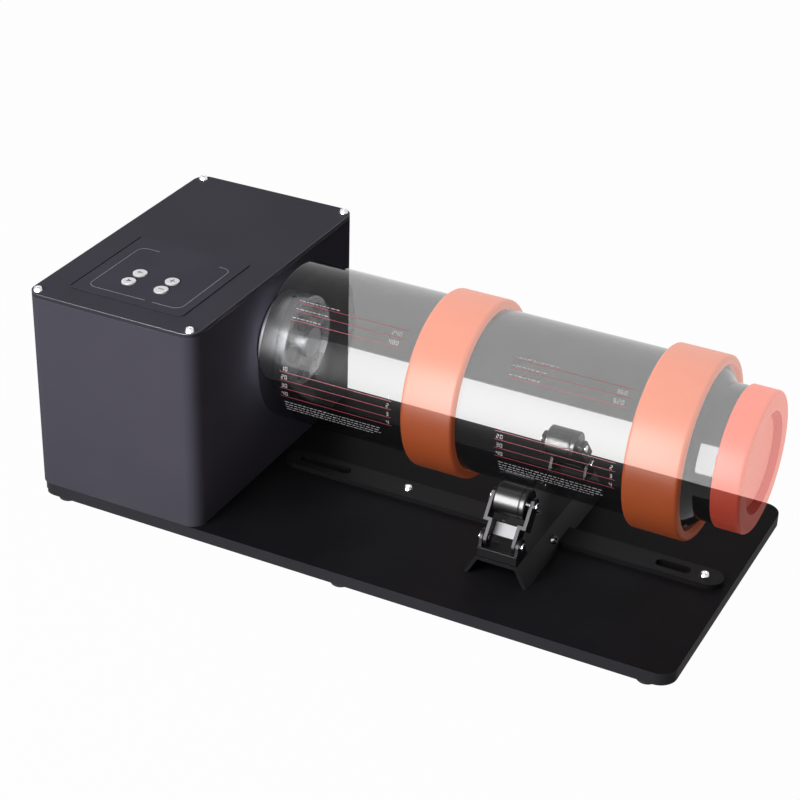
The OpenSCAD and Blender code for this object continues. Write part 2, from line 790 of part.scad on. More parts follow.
module tank_magnets() color([0.65, 0.65, 0.68])
    each_magnet(tank_x) rod_x(magnet_r, magnet_t);

// First body: a cup whose floor stands on the magnet base, inside a skirt that reaches over the hub
module first_tank_body() color([0.14, 0.14, 0.15])
    lathe_x(concat(
        [[0, floor_x], [bore_r - skirt_step, floor_x], [bore_r - skirt_step, skirt_x]],
        corner([tank_r - body_edge_r, skirt_x + body_edge_r], body_edge_r, -90, 0),
        [[tank_r, joint_1_x], [bore_r, joint_1_x], [bore_r, floor_x + tank_wall], [0, floor_x + tank_wall]]
    ));

// Stepped end that plugs into the tank body before it, with a groove for the seal
function spigot_outline(x) = [
    [spigot_in_r, x - tank_joint_l],
    [spigot_out_r - lead_in, x - tank_joint_l],
    [spigot_out_r, x - tank_joint_l + lead_in_l],
    [spigot_out_r, x - tank_joint_l / 2 - groove_w / 2],
    [groove_r, x - tank_joint_l / 2 - groove_w / 2],
    [groove_r, x - tank_joint_l / 2 + groove_w / 2],
    [spigot_out_r, x - tank_joint_l / 2 + groove_w / 2],
    [spigot_out_r, x],
    [tank_r, x]
];

module second_tank_body() color([0.14, 0.14, 0.15])
    lathe_x(concat(
        spigot_outline(joint_1_x),
        [
            [tank_r, joint_2_x], [bore_r, joint_2_x],
            [bore_r, joint_1_x + joint_land + joint_ramp], [spigot_in_r, joint_1_x + joint_land]
        ]
    ));

module clamp_ring(x)
    lathe_x(concat(
        [[ring_in_r, x], [ring_out_r - ring_edge_r, x]],
        corner([ring_out_r - ring_edge_r, x + ring_edge_r], ring_edge_r, -90, 0),
        corner([ring_out_r - ring_edge_r, x + ring_w - ring_edge_r], ring_edge_r, 0, 90),
        [[ring_in_r, x + ring_w]]
    ));

module first_clamp_ring() color([0.95, 0.4, 0.18]) clamp_ring(ring_1_x);
module second_clamp_ring() color([0.95, 0.4, 0.18]) clamp_ring(ring_2_x);

module seal(r, x) color([0.1, 0.1, 0.1])
    at(x, 0, axis_z) rotate([0, 90, 0]) rotate_extrude() translate([r, 0]) circle(seal_r, $fn = 24);

module first_seal() seal(groove_r + seal_r + seal_seat, joint_1_x - tank_joint_l / 2);
module second_seal() seal(groove_r + seal_r + seal_seat, joint_2_x - tank_joint_l / 2);

// Funnel lid: plugs into the second body and narrows to the pouring neck
module funnel_lid() color([0.13, 0.13, 0.14])
    lathe_x(concat(
        spigot_outline(joint_2_x),
        [
            [tank_r, cone_x0], [neck_r, cone_x1],
            [neck_r, neck_groove_x - groove_w / 2], [neck_groove_r, neck_groove_x - groove_w / 2],
            [neck_groove_r, neck_groove_x + groove_w / 2], [neck_r, neck_groove_x + groove_w / 2],
            [neck_r, neck_end_x], [neck_r - neck_wall, neck_end_x],
            [neck_r - neck_wall, cone_x1], [spigot_in_r, cone_x0 - cone_inner_back]
        ]
    ));

module cap_seal() seal(neck_groove_r + seal_r + seal_seat, neck_groove_x);

// Cap: a shallow cup pushed over the neck, with a dished end
module tank_cap() color([0.95, 0.42, 0.3]) {
    end_x = cap_x + cap_l;
    inner_x = end_x - cap_end_t;
    dish_r = cap_dish_d / 2;
    lathe_x(concat(
        [[0, inner_x], [cap_in_r, inner_x], [cap_in_r, cap_x]],
        [[cap_r - cap_mouth, cap_x], [cap_r, cap_x + cap_mouth]],
        corner([cap_r - cap_edge_r, end_x - cap_edge_r], cap_edge_r, 0, 90),
        corner([dish_r + dish_edge_r, end_x - dish_edge_r], dish_edge_r, 90, 180, 3),
        [[dish_r - dish_draft, end_x - cap_dish], [0, end_x - cap_dish]]
    ));
}

// Carriage

// Trapezoid section in X and Z, standing on the plate
module trapezoid(foot_half, top_half, z0, z1)
    polygon([[-foot_half, z0], [foot_half, z0], [top_half, z1], [-top_half, z1]]);

module along_y(half_l) translate([0, half_l, 0]) rotate([90, 0, 0]) linear_extrude(2 * half_l) children();

// Places a shoe screw square to each side wall of the saddle, with its seat on the wall
module each_shoe_screw() {
    seat_z = saddle_h / 2;
    seat_x = saddle_foot_half - seat_z * saddle_slope;
    for (x = [-1, 1])
        at(carriage_x + x * seat_x, -rail_w / 2 - shoe_screw_out, plate_top + seat_z)
            rotate([0, x * (90 - saddle_lean), 0]) children();
}

// Room for the rail under the saddle and its shoe
module rail_notch() at(carriage_x - saddle_foot_half - eps, -rail_w / 2 - slide_gap, plate_top - eps)
    cube([2 * saddle_foot_half + 2 * eps, rail_w + 2 * slide_gap, rail_t + slide_gap + eps]);

module carriage_saddle() color([0.12, 0.12, 0.13]) difference() {
    at(carriage_x, 0, plate_top) along_y(saddle_half_l) difference() {
        trapezoid(saddle_foot_half, saddle_top_half, 0, saddle_h);
        trapezoid(
            saddle_foot_half - saddle_wall + eps * saddle_slope,
            saddle_foot_half - saddle_wall - (saddle_h - sheet_t) * saddle_slope,
            -eps, saddle_h - sheet_t
        );
    }
    rail_notch();
    at(carriage_x, 0, plate_top) cylinder(r = m5_r + slide_gap, h = saddle_h + eps);
    each_shoe_screw() translate([0, 0, -2 * saddle_wall]) cylinder(r = m3_r + fit, h = 3 * saddle_wall);
}

module guide_shoe() color([0.2, 0.2, 0.21]) difference() {
    at(carriage_x, 0, plate_top) along_y(shoe_half_l) trapezoid(
        saddle_foot_half - saddle_wall - slide_gap * (1 + saddle_slope),
        saddle_foot_half - saddle_wall - slide_gap - (saddle_h - sheet_t) * saddle_slope,
        slide_gap, saddle_h - sheet_t
    );
    rail_notch();
    at(carriage_x, 0, plate_top) cylinder(r = m5_r + slide_gap, h = saddle_h);
    at(carriage_x, 0, nut_z - slide_gap) square_block(nut_w + 2 * slide_gap, saddle_h);
    each_shoe_screw() translate([0, 0, -shoe_screw_hole]) cylinder(r = m3_r + fit, h = shoe_screw_hole);
}

module shoe_screws() color([0.8, 0.8, 0.82])
    each_shoe_screw() button_screw(m3_r, m3_head_r, m3_head_h, shoe_screw_l);

// Square block of side w and height h on z = 0
module square_block(w, h) translate([-w / 2, -w / 2, 0]) cube([w, w, h]);

// Grub screw, flush with the saddle, that presses on the rail when it is turned down
module clamp_screw() color([0.25, 0.25, 0.27]) difference() {
    grub_l = saddle_top - rail_top - slide_gap;
    at(carriage_x, 0, saddle_top - grub_l) cylinder(r = m5_r, h = grub_l);
    at(carriage_x, 0, saddle_top - grub_hex_l) cylinder(r = grub_hex_r, h = grub_hex_l + eps, $fn = 6);
}

// Nut in a pocket of the shoe, held down by the saddle's top
module clamp_nut() color([0.7, 0.7, 0.72])
    at(carriage_x, 0, nut_z) difference() {
        square_block(nut_w, nut_h);
        translate([0, 0, -eps]) cylinder(r = m5_r + fit, h = nut_h + 2 * eps);
    }

// Side of an upright ear in Y and Z: it narrows from its foot to a round top about the pivot
module ear_outline() {
    polygon([[-ear_foot_out, 0], [ear_foot_in, 0], [arm_half_w, pivot_h], [-arm_half_w, pivot_h]]);
    translate([0, pivot_h]) circle(arm_half_w);
}

// Two ears on a foot that lies on the saddle, with a low web across the outer side
module bracket() difference() {
    union() {
        for (x = [-ear_out, ear_in])
            at(carriage_x + x, -pivot_y, saddle_top)
                rotate([90, 0, 90]) linear_extrude(sheet_t) ear_outline();
        at(carriage_x - ear_out, -pivot_y - ear_foot_out, saddle_top)
            cube([2 * ear_out, ear_foot_out + ear_foot_in, sheet_t]);
        at(carriage_x - ear_out, -pivot_y - ear_foot_out, saddle_top)
            cube([2 * ear_out, sheet_t, bracket_web_h]);
    }
    at(carriage_x - ear_out - eps, -pivot_y, pivot_z) rod_x(pivot_pin_r + fit, 2 * ear_out + 2 * eps);
}

module near_bracket() color([0.13, 0.13, 0.14]) side(false) bracket();
module far_bracket() color([0.13, 0.13, 0.14]) side(true) bracket();

// A headed pin from -half_l to half_l along X
module headed_pin(r, half_l, head_r, head_t) {
    translate([-half_l - eps, 0, 0]) rod_x(r, 2 * (half_l + eps));
    for (x = [-half_l - head_t, half_l]) translate([x, 0, 0]) rod_x(head_r, head_t);
}

// Four short pins, each through a lower arm and its ear, with a head outside the ear
module pivot_pins() color([0.85, 0.85, 0.87])
    for (far = [false, true], left = [0, 1])
        side(far) at(carriage_x, -pivot_y, pivot_z) mirror([left, 0, 0]) {
            translate([lower_arm_in, 0, 0]) rod_x(pivot_pin_r, ear_out - lower_arm_in + eps);
            translate([ear_out, 0, 0]) rod_x(pivot_head_r, pivot_head_t);
        }

// Two stepped arms joined by a web; the lower arms turn on the pivot, the upper ones hold the axle
module yoke() arm_frame() difference() {
    union() {
        for (x = [-1, 1]) mirror([x > 0 ? 0 : 1, 0, 0]) {
            translate([lower_arm_in, 0, 0]) rod_x(arm_half_w, sheet_t);
            translate([lower_arm_in, -arm_half_w, 0]) cube([sheet_t, 2 * arm_half_w, arm_step_z + sheet_t]);
            translate([lower_arm_in, -arm_half_w, arm_step_z])
                cube([upper_arm_out - lower_arm_in, 2 * arm_half_w, sheet_t]);
            translate([upper_arm_in, -arm_half_w, arm_step_z])
                cube([sheet_t, 2 * arm_half_w, arm_l - arm_step_z]);
            translate([upper_arm_in, 0, arm_l]) rod_x(arm_half_w, sheet_t);
        }
        translate([-lower_arm_out, arm_half_w - web_t, web_foot])
            cube([2 * lower_arm_out, web_t, web_h]);
    }
    translate([-upper_arm_out, 0, 0]) rod_x(pivot_pin_r + fit, 2 * upper_arm_out);
    translate([-upper_arm_out - eps, 0, arm_l]) rod_x(axle_r + axle_fit, 2 * upper_arm_out + 2 * eps);
}

module near_yoke() color([0.35, 0.35, 0.37]) side(false) yoke();
module far_yoke() color([0.35, 0.35, 0.37]) side(true) yoke();

module axle() arm_frame() translate([0, 0, arm_l])
    headed_pin(axle_r, upper_arm_out, axle_head_r, axle_head_t);

module near_axle() color([0.8, 0.8, 0.82]) side(false) axle();
module far_axle() color([0.8, 0.8, 0.82]) side(true) axle();

// Roller with bevelled ends, an axle bore and a fine V groove near one end
module roller() arm_frame() {
    bore = axle_r + spin_fit;
    groove_x = roller_l - roller_groove_in;
    translate([-roller_l / 2, 0, arm_l]) rotate([0, 90, 0]) rotate_extrude() polygon([
        [bore, 0], [roller_r - roller_edge, 0], [roller_r, roller_edge],
        [roller_r, groove_x],
        [roller_r - roller_groove_d, groove_x + roller_groove_w / 2],
        [roller_r, groove_x + roller_groove_w],
        [roller_r, roller_l - roller_edge], [roller_r - roller_edge, roller_l], [bore, roller_l]
    ]);
}

module near_roller() color([0.1, 0.1, 0.11]) side(false) roller();
module far_roller() color([0.1, 0.1, 0.11]) side(true) roller();

// The nodes

base_plate();
rubber_feet();
guide_rail();
rail_screws();
housing_shell();
base_screws();
lid();
lid_screws();
keypad_overlay();
button(-1, -1);  // start_button
button(-1, 1);  // reverse_button
button(1, 1);  // faster_button
button(1, -1);  // slower_button
control_board();
board_standoffs();
tact_switches();
board_components();
power_lead();
motor_lead();
gearbox_front_plate();
gearbox_rear_plate();
gearbox_pillars();
gearbox_screws();
motor();
motor_screws();
motor_pinion();
bearing(front_plate_x, front_plate_t);  // front_bearing
bearing(rear_plate_x, rear_plate_t);  // rear_bearing
drive_shaft();
drive_gear();
drive_hub();
hub_magnets();
hub_set_screw();
power_jack();
jack_nut();
magnet_base();
tank_magnets();
first_tank_body();
second_tank_body();
first_clamp_ring();
second_clamp_ring();
first_seal();
second_seal();
funnel_lid();
tank_cap();
cap_seal();
carriage_saddle();
guide_shoe();
shoe_screws();
clamp_screw();
clamp_nut();
near_bracket();
far_bracket();
pivot_pins();
near_yoke();
far_yoke();
near_axle();
far_axle();
near_roller();
far_roller();
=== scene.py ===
# %% [markdown]
# # A rotary film processor
# A motor in a black housing turns a see-through film tank, which lies on two rollers on a sliding carriage.

# %% Load the frame
import json
import bmesh
import bpy
import numpy as np
from mathutils import Matrix, Vector


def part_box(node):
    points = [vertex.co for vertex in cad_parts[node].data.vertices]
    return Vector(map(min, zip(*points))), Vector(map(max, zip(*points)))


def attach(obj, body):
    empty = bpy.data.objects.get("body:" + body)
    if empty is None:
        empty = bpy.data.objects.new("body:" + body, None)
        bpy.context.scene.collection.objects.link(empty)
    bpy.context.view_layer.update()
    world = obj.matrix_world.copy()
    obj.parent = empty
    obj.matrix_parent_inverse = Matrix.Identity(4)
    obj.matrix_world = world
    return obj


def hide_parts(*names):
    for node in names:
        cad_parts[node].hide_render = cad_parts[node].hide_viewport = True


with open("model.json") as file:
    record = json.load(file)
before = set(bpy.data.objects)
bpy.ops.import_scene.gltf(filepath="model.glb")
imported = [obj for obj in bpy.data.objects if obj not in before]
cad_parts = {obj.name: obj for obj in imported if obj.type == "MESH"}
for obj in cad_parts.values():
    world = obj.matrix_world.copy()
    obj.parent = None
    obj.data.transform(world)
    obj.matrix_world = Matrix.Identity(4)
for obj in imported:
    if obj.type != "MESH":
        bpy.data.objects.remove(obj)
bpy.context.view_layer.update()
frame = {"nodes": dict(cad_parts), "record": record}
MM = 0.001
body_of_node = {n: body for body, nodes in frame["record"]["behaviour"]["bodies"].items() for n in nodes}
slot_of_node = {part["node"]: part["material_slot"] for part in frame["record"]["subparts"]}

# %% [markdown]
# ## The camera
# The picture was taken from the cap's end, above the keypad side, with a long lens and a slight roll.
# A Track To constraint could aim the camera, but it would keep it level and leave out the roll. So three unit vectors
# give the camera's right, up and back directions, and they are the columns of its matrix.

# %% Camera
CAMERA_MM, LENS, SENSOR_W, FAR_CLIP = (433.65, -908.46, 652.10), 94.57, 36, 20
camera_right = Vector((0.89108943, 0.4532047, 0.0237724))
camera_up = Vector((-0.24459268, 0.43547448, 0.86633504))
camera_back = Vector((0.38227484, -0.77779655, 0.49889725))
camera = bpy.data.objects.new("camera", bpy.data.cameras.new("camera"))
bpy.context.scene.collection.objects.link(camera)
turn = Matrix((camera_right, camera_up, camera_back)).transposed().to_4x4()
turn.translation = Vector(CAMERA_MM) * MM
camera.matrix_world = turn
camera.data.lens = LENS
camera.data.sensor_width = SENSOR_W
camera.data.clip_end = FAR_CLIP
bpy.context.scene.camera = camera
print("camera at", [round(c, 3) for c in turn.translation])

# %% [markdown]
# ## Shader maths as Python
# A material is a graph of nodes. It could be written node by node and link by link, but a long graph is hard to read
# that way. So one small class wraps a socket: sums and products of wires add Math nodes, and one method adds any
# other node with its settings and sockets.


# %% Wire
class Wire:
    """A socket in a node tree. Sums, differences and products of wires, or of wires and numbers, add Math nodes."""

    def __init__(self, tree, socket=None):
        self.tree = tree
        self.socket = socket

    def node(self, kind, settings=None, sockets=None, out=0):
        """Adds a node of that kind: its settings first, then the values or links of its sockets. Gives one output."""
        made = self.tree.nodes.new(kind)
        for key, value in (settings or {}).items():
            if key == "stops":
                for element, (place, shade) in zip(made.color_ramp.elements, value):
                    element.position = place
                    element.color = (shade, shade, shade, 1)
            else:
                setattr(made, key, value)
        for key, value in (sockets or {}).items():
            if isinstance(value, Wire):
                self.tree.links.new(value.socket, made.inputs[key])
            else:
                made.inputs[key].default_value = value
        return Wire(self.tree, made.outputs[out] if len(made.outputs) else None)

    def math(self, operation, first, second):
        """A Math node on two values, which are wires or numbers."""
        return self.node("ShaderNodeMath", {"operation": operation}, {0: first, 1: second})

    def __add__(self, other):
        return self.math("ADD", self, other)

    def __radd__(self, other):
        return self.math("ADD", other, self)

    def __sub__(self, other):
        return self.math("SUBTRACT", self, other)

    def __rsub__(self, other):
        return self.math("SUBTRACT", other, self)

    def __mul__(self, other):
        return self.math("MULTIPLY", self, other)

    def __rmul__(self, other):
        return self.math("MULTIPLY", other, self)


def blank(name):
    """A new material with an empty node tree, and a wire to build from."""
    material = bpy.data.materials.new(name)
    material.use_nodes = True
    material.node_tree.nodes.clear()
    return material, Wire(material.node_tree)


print("wires ready")

# %% [markdown]
# ## Light and background
# The object stands on plain white, and a soft box in front gives tank, rings and rollers one long gloss.
# Strong lamps could make the background white, but they would flood the object too. So the world is white for camera,
# glossy and transmission rays, and dimmer as a light. The floor does the same, and keeps part of its own shading, so
# the object's soft shadow stays on it.
# The reflectors light no diffuse surface: like a studio's cards, they are there to be seen in the gloss.
# The dim one stands in front of the housing, where that gloss fades.
# The key and the top lamp do the opposite, so that no second gloss crosses the first.


# %% World and floor
def seen_directly(wire):
    """One for camera, glossy and transmission rays, and nought for the rays that carry light."""
    path = [wire.node("ShaderNodeLightPath", out=name) for name in
            ("Is Camera Ray", "Is Glossy Ray", "Is Transmission Ray")]
    return wire.math("MINIMUM", path[0] + path[1] + path[2], 1)


world = bpy.data.worlds.new("studio")
bpy.context.scene.world = world
world.use_nodes = True
world.node_tree.nodes.clear()
sky = Wire(world.node_tree)
WORLD_LIGHT, FLOOR_WHITE, FLOOR_GREY, FLOOR_HALF = 0.1, 0.98, 0.4, 6.0
strength = WORLD_LIGHT + (1 - WORLD_LIGHT) * seen_directly(sky)
backdrop = sky.node("ShaderNodeBackground", sockets={"Color": (1, 1, 1, 1), "Strength": strength})
sky.node("ShaderNodeOutputWorld", sockets={"Surface": backdrop})

floor_paint, wire = blank("pale_floor")
lit = wire.node("ShaderNodeBsdfDiffuse", sockets={"Color": (FLOOR_GREY, FLOOR_GREY, FLOOR_GREY, 1)})
plain = wire.node("ShaderNodeEmission", sockets={"Color": (1, 1, 1, 1), "Strength": 1.0})
white = wire.node("ShaderNodeMixShader", sockets={0: seen_directly(wire) * FLOOR_WHITE, 1: lit, 2: plain})
wire.node("ShaderNodeOutputMaterial", sockets={"Surface": white})
floor_mesh = bpy.data.meshes.new("floor")
corners = np.array([[-1, -1, 0], [1, -1, 0], [1, 1, 0], [-1, 1, 0]]) * FLOOR_HALF
floor_mesh.from_pydata(corners.tolist(), [], [(0, 1, 2, 3)])
floor_mesh.materials.append(floor_paint)
floor = bpy.data.objects.new("floor", floor_mesh)
bpy.context.scene.collection.objects.link(floor)
print("white world and floor")


# %% Lamps
def area_lamp(name, place, target, width, height, power):
    """A rectangular area lamp at a place, turned towards a target."""
    lamp = bpy.data.lights.new(name, "AREA")
    lamp.shape = "RECTANGLE"
    lamp.size = width
    lamp.size_y = height
    lamp.energy = power
    made = bpy.data.objects.new(name, lamp)
    made.location = place
    made.rotation_euler = (Vector(target) - Vector(place)).to_track_quat("-Z", "Y").to_euler()
    made.visible_camera = False
    bpy.context.scene.collection.objects.link(made)
    return made


TANK_MIDDLE, CLEAR_LAYERS = (0.05, 0.0, 0.09), 48
for name, place, size, power in (("key", (-0.42, -0.95, 0.8), 0.8, 13.0), ("top", (-0.45, 0.05, 1.25), 0.6, 3.0)):
    lamp = area_lamp(name, place, TANK_MIDDLE, size, size, power)
    lamp.visible_glossy = False
REFLECTOR_Y, REFLECTOR_Z, REFLECTOR_H = -0.45, 0.216, 0.41
for name, middle_x, width, power in (("reflector", -0.055, 0.43, 17.2), ("dim_reflector", -0.41, 0.28, 2.2)):
    reflector = area_lamp(name, (middle_x, REFLECTOR_Y, REFLECTOR_Z), (middle_x, 0.0, REFLECTOR_Z), width,
                          REFLECTOR_H, power)
    reflector.visible_diffuse = False
bpy.context.scene.view_settings.view_transform = "Standard"
bpy.context.scene.cycles.transparent_max_bounces = CLEAR_LAYERS
print("two lamps and two reflectors")

# %% [markdown]
# ## Finishes
# No real surface is one flat colour. Powder coat has a fine orange peel, anodised sheet a faint cloudiness,
# and turned or drawn metal fine lines. Photographs of such surfaces could be laid on, but they need a map for every
# piece, and they blur close up. So each finish mixes two near shades by noise in Object coordinates, and a finer
# noise moves the roughness and a slight bump. Numbers that stay the same go straight on the shader.


# %% Shades and noise
def rgb(red, green, blue):
    """A colour given as screen values from 0 to 255, in the linear light that shaders use."""
    c = np.array([red, green, blue]) / 255
    linear = np.where(c > 0.04045, ((c + 0.055) / 1.055) ** 2.4, c / 12.92)
    return (*linear.tolist(), 1.0)


def mixed(wire, factor, first, second):
    """A colour between two, by a Mix node. Its colour inputs are numbers 6 and 7, and its colour output number 2."""
    return wire.node("ShaderNodeMix", {"data_type": "RGBA"}, {0: factor, 6: first, 7: second}, out=2)


def between(factor, ends):
    """A value between two ends: the first, and the factor times the difference."""
    return ends[0] + factor * (ends[1] - ends[0])


NOISE_DETAIL = 3.0


def noise(wire, scale, stretch=(1, 1, 1)):
    """Noise in Object coordinates, with the given number of features per metre along each axis."""
    place = wire.node("ShaderNodeTexCoord", out="Object")
    place = wire.node("ShaderNodeVectorMath", {"operation": "MULTIPLY"}, {0: place, 1: stretch})
    return wire.node("ShaderNodeTexNoise", sockets={"Vector": place, "Scale": scale, "Detail": NOISE_DETAIL})


print("shades and noise ready")

# %% One finish
CLOUD_SHARE, BUMP_DEPTH = 0.6, 0.1 * MM


def surface(name, dark, light, rough=(0.4, 0.5), cloud=25.0, grain=1500.0, relief=0.1, stretch=(1, 1, 1), **fixed):
    """A finish from two near shades: slow noise mixes them, and fine noise sets a bump, and roughness between two
    values."""
    material, wire = blank(name)
    slow = wire.node("ShaderNodeValToRGB", {"stops": ((0.3, 0), (0.7, 1))}, {"Fac": noise(wire, cloud)})
    fine = noise(wire, grain, stretch)
    bump = wire.node("ShaderNodeBump", sockets={"Strength": relief, "Distance": BUMP_DEPTH, "Height": fine})
    sockets = {
        "Base Color": mixed(wire, slow * CLOUD_SHARE + fine * (1 - CLOUD_SHARE), dark, light),
        "Roughness": between(fine, rough),
        "Normal": bump,
    }
    sockets.update(fixed)
    shader = wire.node("ShaderNodeBsdfPrincipled", sockets=sockets)
    wire.node("ShaderNodeOutputMaterial", sockets={"Surface": shader})
    return material


print("a slow noise takes", CLOUD_SHARE, "of a finish's shade")

# %% Plain finishes
SPECULAR = "Specular IOR Level"
finishes = {
    "black_plate": surface("black_powder_coat", rgb(22, 22, 24), rgb(30, 29, 32), (0.34, 0.46), relief=0.25,
                           **{SPECULAR: 0.02}),
    "rubber": surface("foot_rubber", rgb(18, 18, 18), rgb(26, 26, 27), (0.75, 0.9), relief=0.4, **{SPECULAR: 0.2}),
    "black_rail": surface("anodised_rail", rgb(22, 22, 24), rgb(29, 28, 31), (0.36, 0.46), grain=900,
                          stretch=(0.05, 1, 1), **{SPECULAR: 0.05}),
    "bright_steel": surface("bright_steel", rgb(205, 205, 208), rgb(235, 235, 238), (0.16, 0.26), Metallic=1.0),
    "black_housing": surface("anodised_housing", rgb(84, 82, 92), rgb(94, 91, 102), (0.46, 0.56), cloud=14,
                             grain=2500, **{SPECULAR: 0.0}),
    "black_lid": surface("anodised_lid", rgb(59, 58, 66), rgb(67, 65, 74), (0.42, 0.52), cloud=14, grain=2500,
                         **{SPECULAR: 0.02}),
    "overlay": surface("matt_film", rgb(62, 60, 69), rgb(70, 68, 77), (0.5, 0.6), cloud=30, grain=3000,
                       **{SPECULAR: 0.02}),
    "button_white": surface("key_white", rgb(226, 226, 228), rgb(238, 238, 240), (0.3, 0.38), relief=0.05),
    "board": surface("solder_mask", rgb(12, 62, 34), rgb(22, 86, 48), (0.3, 0.4), cloud=220),
    "component": surface("moulded_case", rgb(24, 24, 26), rgb(38, 38, 41), (0.5, 0.65)),
    "brass": surface("turned_brass", rgb(196, 160, 92), rgb(226, 194, 124), (0.22, 0.32), Metallic=1.0),
    "plain_alloy": surface("milled_alloy", rgb(206, 207, 210), rgb(236, 237, 240), (0.24, 0.34), grain=1400,
                           relief=0.02, stretch=(1, 0.04, 0.04), Metallic=1.0),
    "motor_can": surface("drawn_steel", rgb(158, 158, 163), rgb(186, 186, 191), (0.3, 0.4), grain=1200,
                         stretch=(0.04, 1, 1), Metallic=1.0),
    "gear_nylon": surface("gear_nylon", rgb(218, 212, 194), rgb(232, 227, 212), (0.45, 0.55)),
    "lead": surface("lead_jacket", rgb(20, 20, 22), rgb(32, 32, 34), (0.45, 0.6)),
    "magnet": surface("nickel_plate", rgb(196, 196, 200), rgb(222, 222, 226), (0.15, 0.25), Metallic=1.0),
    "jack": surface("jack_moulding", rgb(20, 20, 22), rgb(30, 30, 32), (0.3, 0.42)),
    "black_sheet": surface("black_sheet", rgb(20, 20, 22), rgb(30, 29, 32), (0.3, 0.42), relief=0.2,
                           **{SPECULAR: 0.12}),
    "roller": surface("roller_rubber", rgb(12, 12, 13), rgb(19, 18, 20), (0.26, 0.34), **{SPECULAR: 0.4}),
    "shoe": surface("shoe_plastic", rgb(30, 30, 32), rgb(42, 42, 44), (0.4, 0.5)),
}
# Bare metal, painted paler: a painted reflection on the web and a painted highlight on the cut edges.
bare_web_painted_reflection = surface("bare_web_painted_reflection", rgb(228, 228, 231), rgb(242, 242, 244), (0.4, 0.5), grain=1200,
                   stretch=(1, 0.05, 0.05), **{SPECULAR: 0.02})
cut_edge_painted_highlight = surface("cut_edge_painted_highlight", rgb(126, 125, 129), rgb(150, 149, 154), (0.5, 0.6), grain=1200,
                   stretch=(1, 0.05, 0.05), **{SPECULAR: 0.02})
# The plate's upright sides in a paler shade of the same coat: painted light on them.
plate_side_painted_light = surface("plate_side_painted_light", rgb(54, 54, 58), rgb(64, 63, 68), (0.46, 0.56), relief=0.25, **{SPECULAR: 0.02})
dark_screw = surface("dark_screw", rgb(18, 18, 20), rgb(28, 28, 30), (0.22, 0.3), **{SPECULAR: 0.4})
# A painted highlight for the lid's rounded edges.
lid_edge_highlight = surface("lid_edge_highlight", rgb(112, 110, 118), rgb(132, 130, 138), (0.3, 0.4), grain=1800, Metallic=0.6)
print(len(finishes), "finishes")

# %% [markdown]
# ## The ghosted plastics
# The tank is smoked clear plastic and its rings and cap are clear orange. In the picture one looks through their
# near wall only: no wall adds a second layer. Glass that bends light could be used, but each wall would darken and
# shift what lies behind it. So a wall is mixed with a clear one: it is full only from outside, which Geometry's
# Backfacing tells, and only where no clear piece lies in front, which Light Path's Transparent Depth tells. A wall
# under a ring is then clear, and the ring keeps its bright colour, but the wall is smoky again once the ring has slid
# away from it.
# The two bodies have one clear strip along the front, which shows the far roller. It is a place on the tank, worked
# out from Object coordinates, so it turns with the tank.


# %% First layer
def from_outside(wire):
    """One on a face seen from outside, and nought from inside."""
    return 1 - wire.node("ShaderNodeNewGeometry", out="Backfacing")


def first_layer(wire):
    """One on a face seen from outside with nothing clear in front of it, and nought on any other."""
    depth = wire.node("ShaderNodeLightPath", out="Transparent Depth")
    return from_outside(wire) * wire.math("LESS_THAN", depth, 0.5)


print("first layer ready")

# %% Clear strip
ring_low, ring_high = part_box("first_clamp_ring")
AXIS_Z = (ring_low.z + ring_high.z) / 2 / MM
STRIP_FROM, STRIP_TO, STRIP_SOFT, STRIP_HAZE = -12.0, 34.4, 1.2, 0.28
STRIP_CLEAR, STRIP_FADE = 16.0, 14.0
STRIP_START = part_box("magnet_base")[1].x / MM + STRIP_CLEAR


def clear_strip(wire):
    """One on the tank's front between the strip's two angles, and nought elsewhere. The angle is the arc tangent of
    the height over the tank's axis and the distance in front of it. The strip fades in along the axis, past the
    magnet base."""
    def past(value, start, width):
        """Nought before the start, one past the width after it, and a smooth step between."""
        return wire.node("ShaderNodeMapRange", {"interpolation_type": "SMOOTHSTEP"},
                         {"Value": value, "From Min": start, "From Max": start + width})

    place = wire.node("ShaderNodeTexCoord", out="Object")
    along, back, height = (wire.node("ShaderNodeSeparateXYZ", sockets={0: place}, out=out) for out in "XYZ")
    angle = wire.math("ARCTAN2", height - AXIS_Z * MM, 0 - back)
    soft = np.radians(STRIP_SOFT)
    above, below = past(angle, np.radians(STRIP_FROM), soft), 1 - past(angle, np.radians(STRIP_TO), soft)
    return above * below * past(along, STRIP_START * MM, STRIP_FADE * MM)


print("clear strip from", STRIP_FROM, "to", STRIP_TO, "degrees")

# %% Clear and tinted walls
CLEAR_CLOUD = 30.0


def see_through(name, dark, light, alpha, rough, seen=first_layer, strip=0.0, **fixed):
    """A clear plastic: two shades by slow noise, and an Alpha that drops to nought on faces that aren't to be seen,
    and by the strip's share on the clear strip."""
    material, wire = blank(name)
    slow = noise(wire, CLEAR_CLOUD)
    sockets = {
        "Base Color": mixed(wire, slow, dark, light),
        "Roughness": between(slow, rough),
        "Alpha": seen(wire) * between(slow, alpha),
    }
    if strip:
        front = clear_strip(wire)
        sockets["Alpha"] = sockets["Alpha"] * (1 - strip * front)
        sockets["Roughness"] = sockets["Roughness"] + front * STRIP_HAZE
    sockets.update(fixed)
    shader = wire.node("ShaderNodeBsdfPrincipled", sockets=sockets)
    wire.node("ShaderNodeOutputMaterial", sockets={"Surface": shader})
    return material


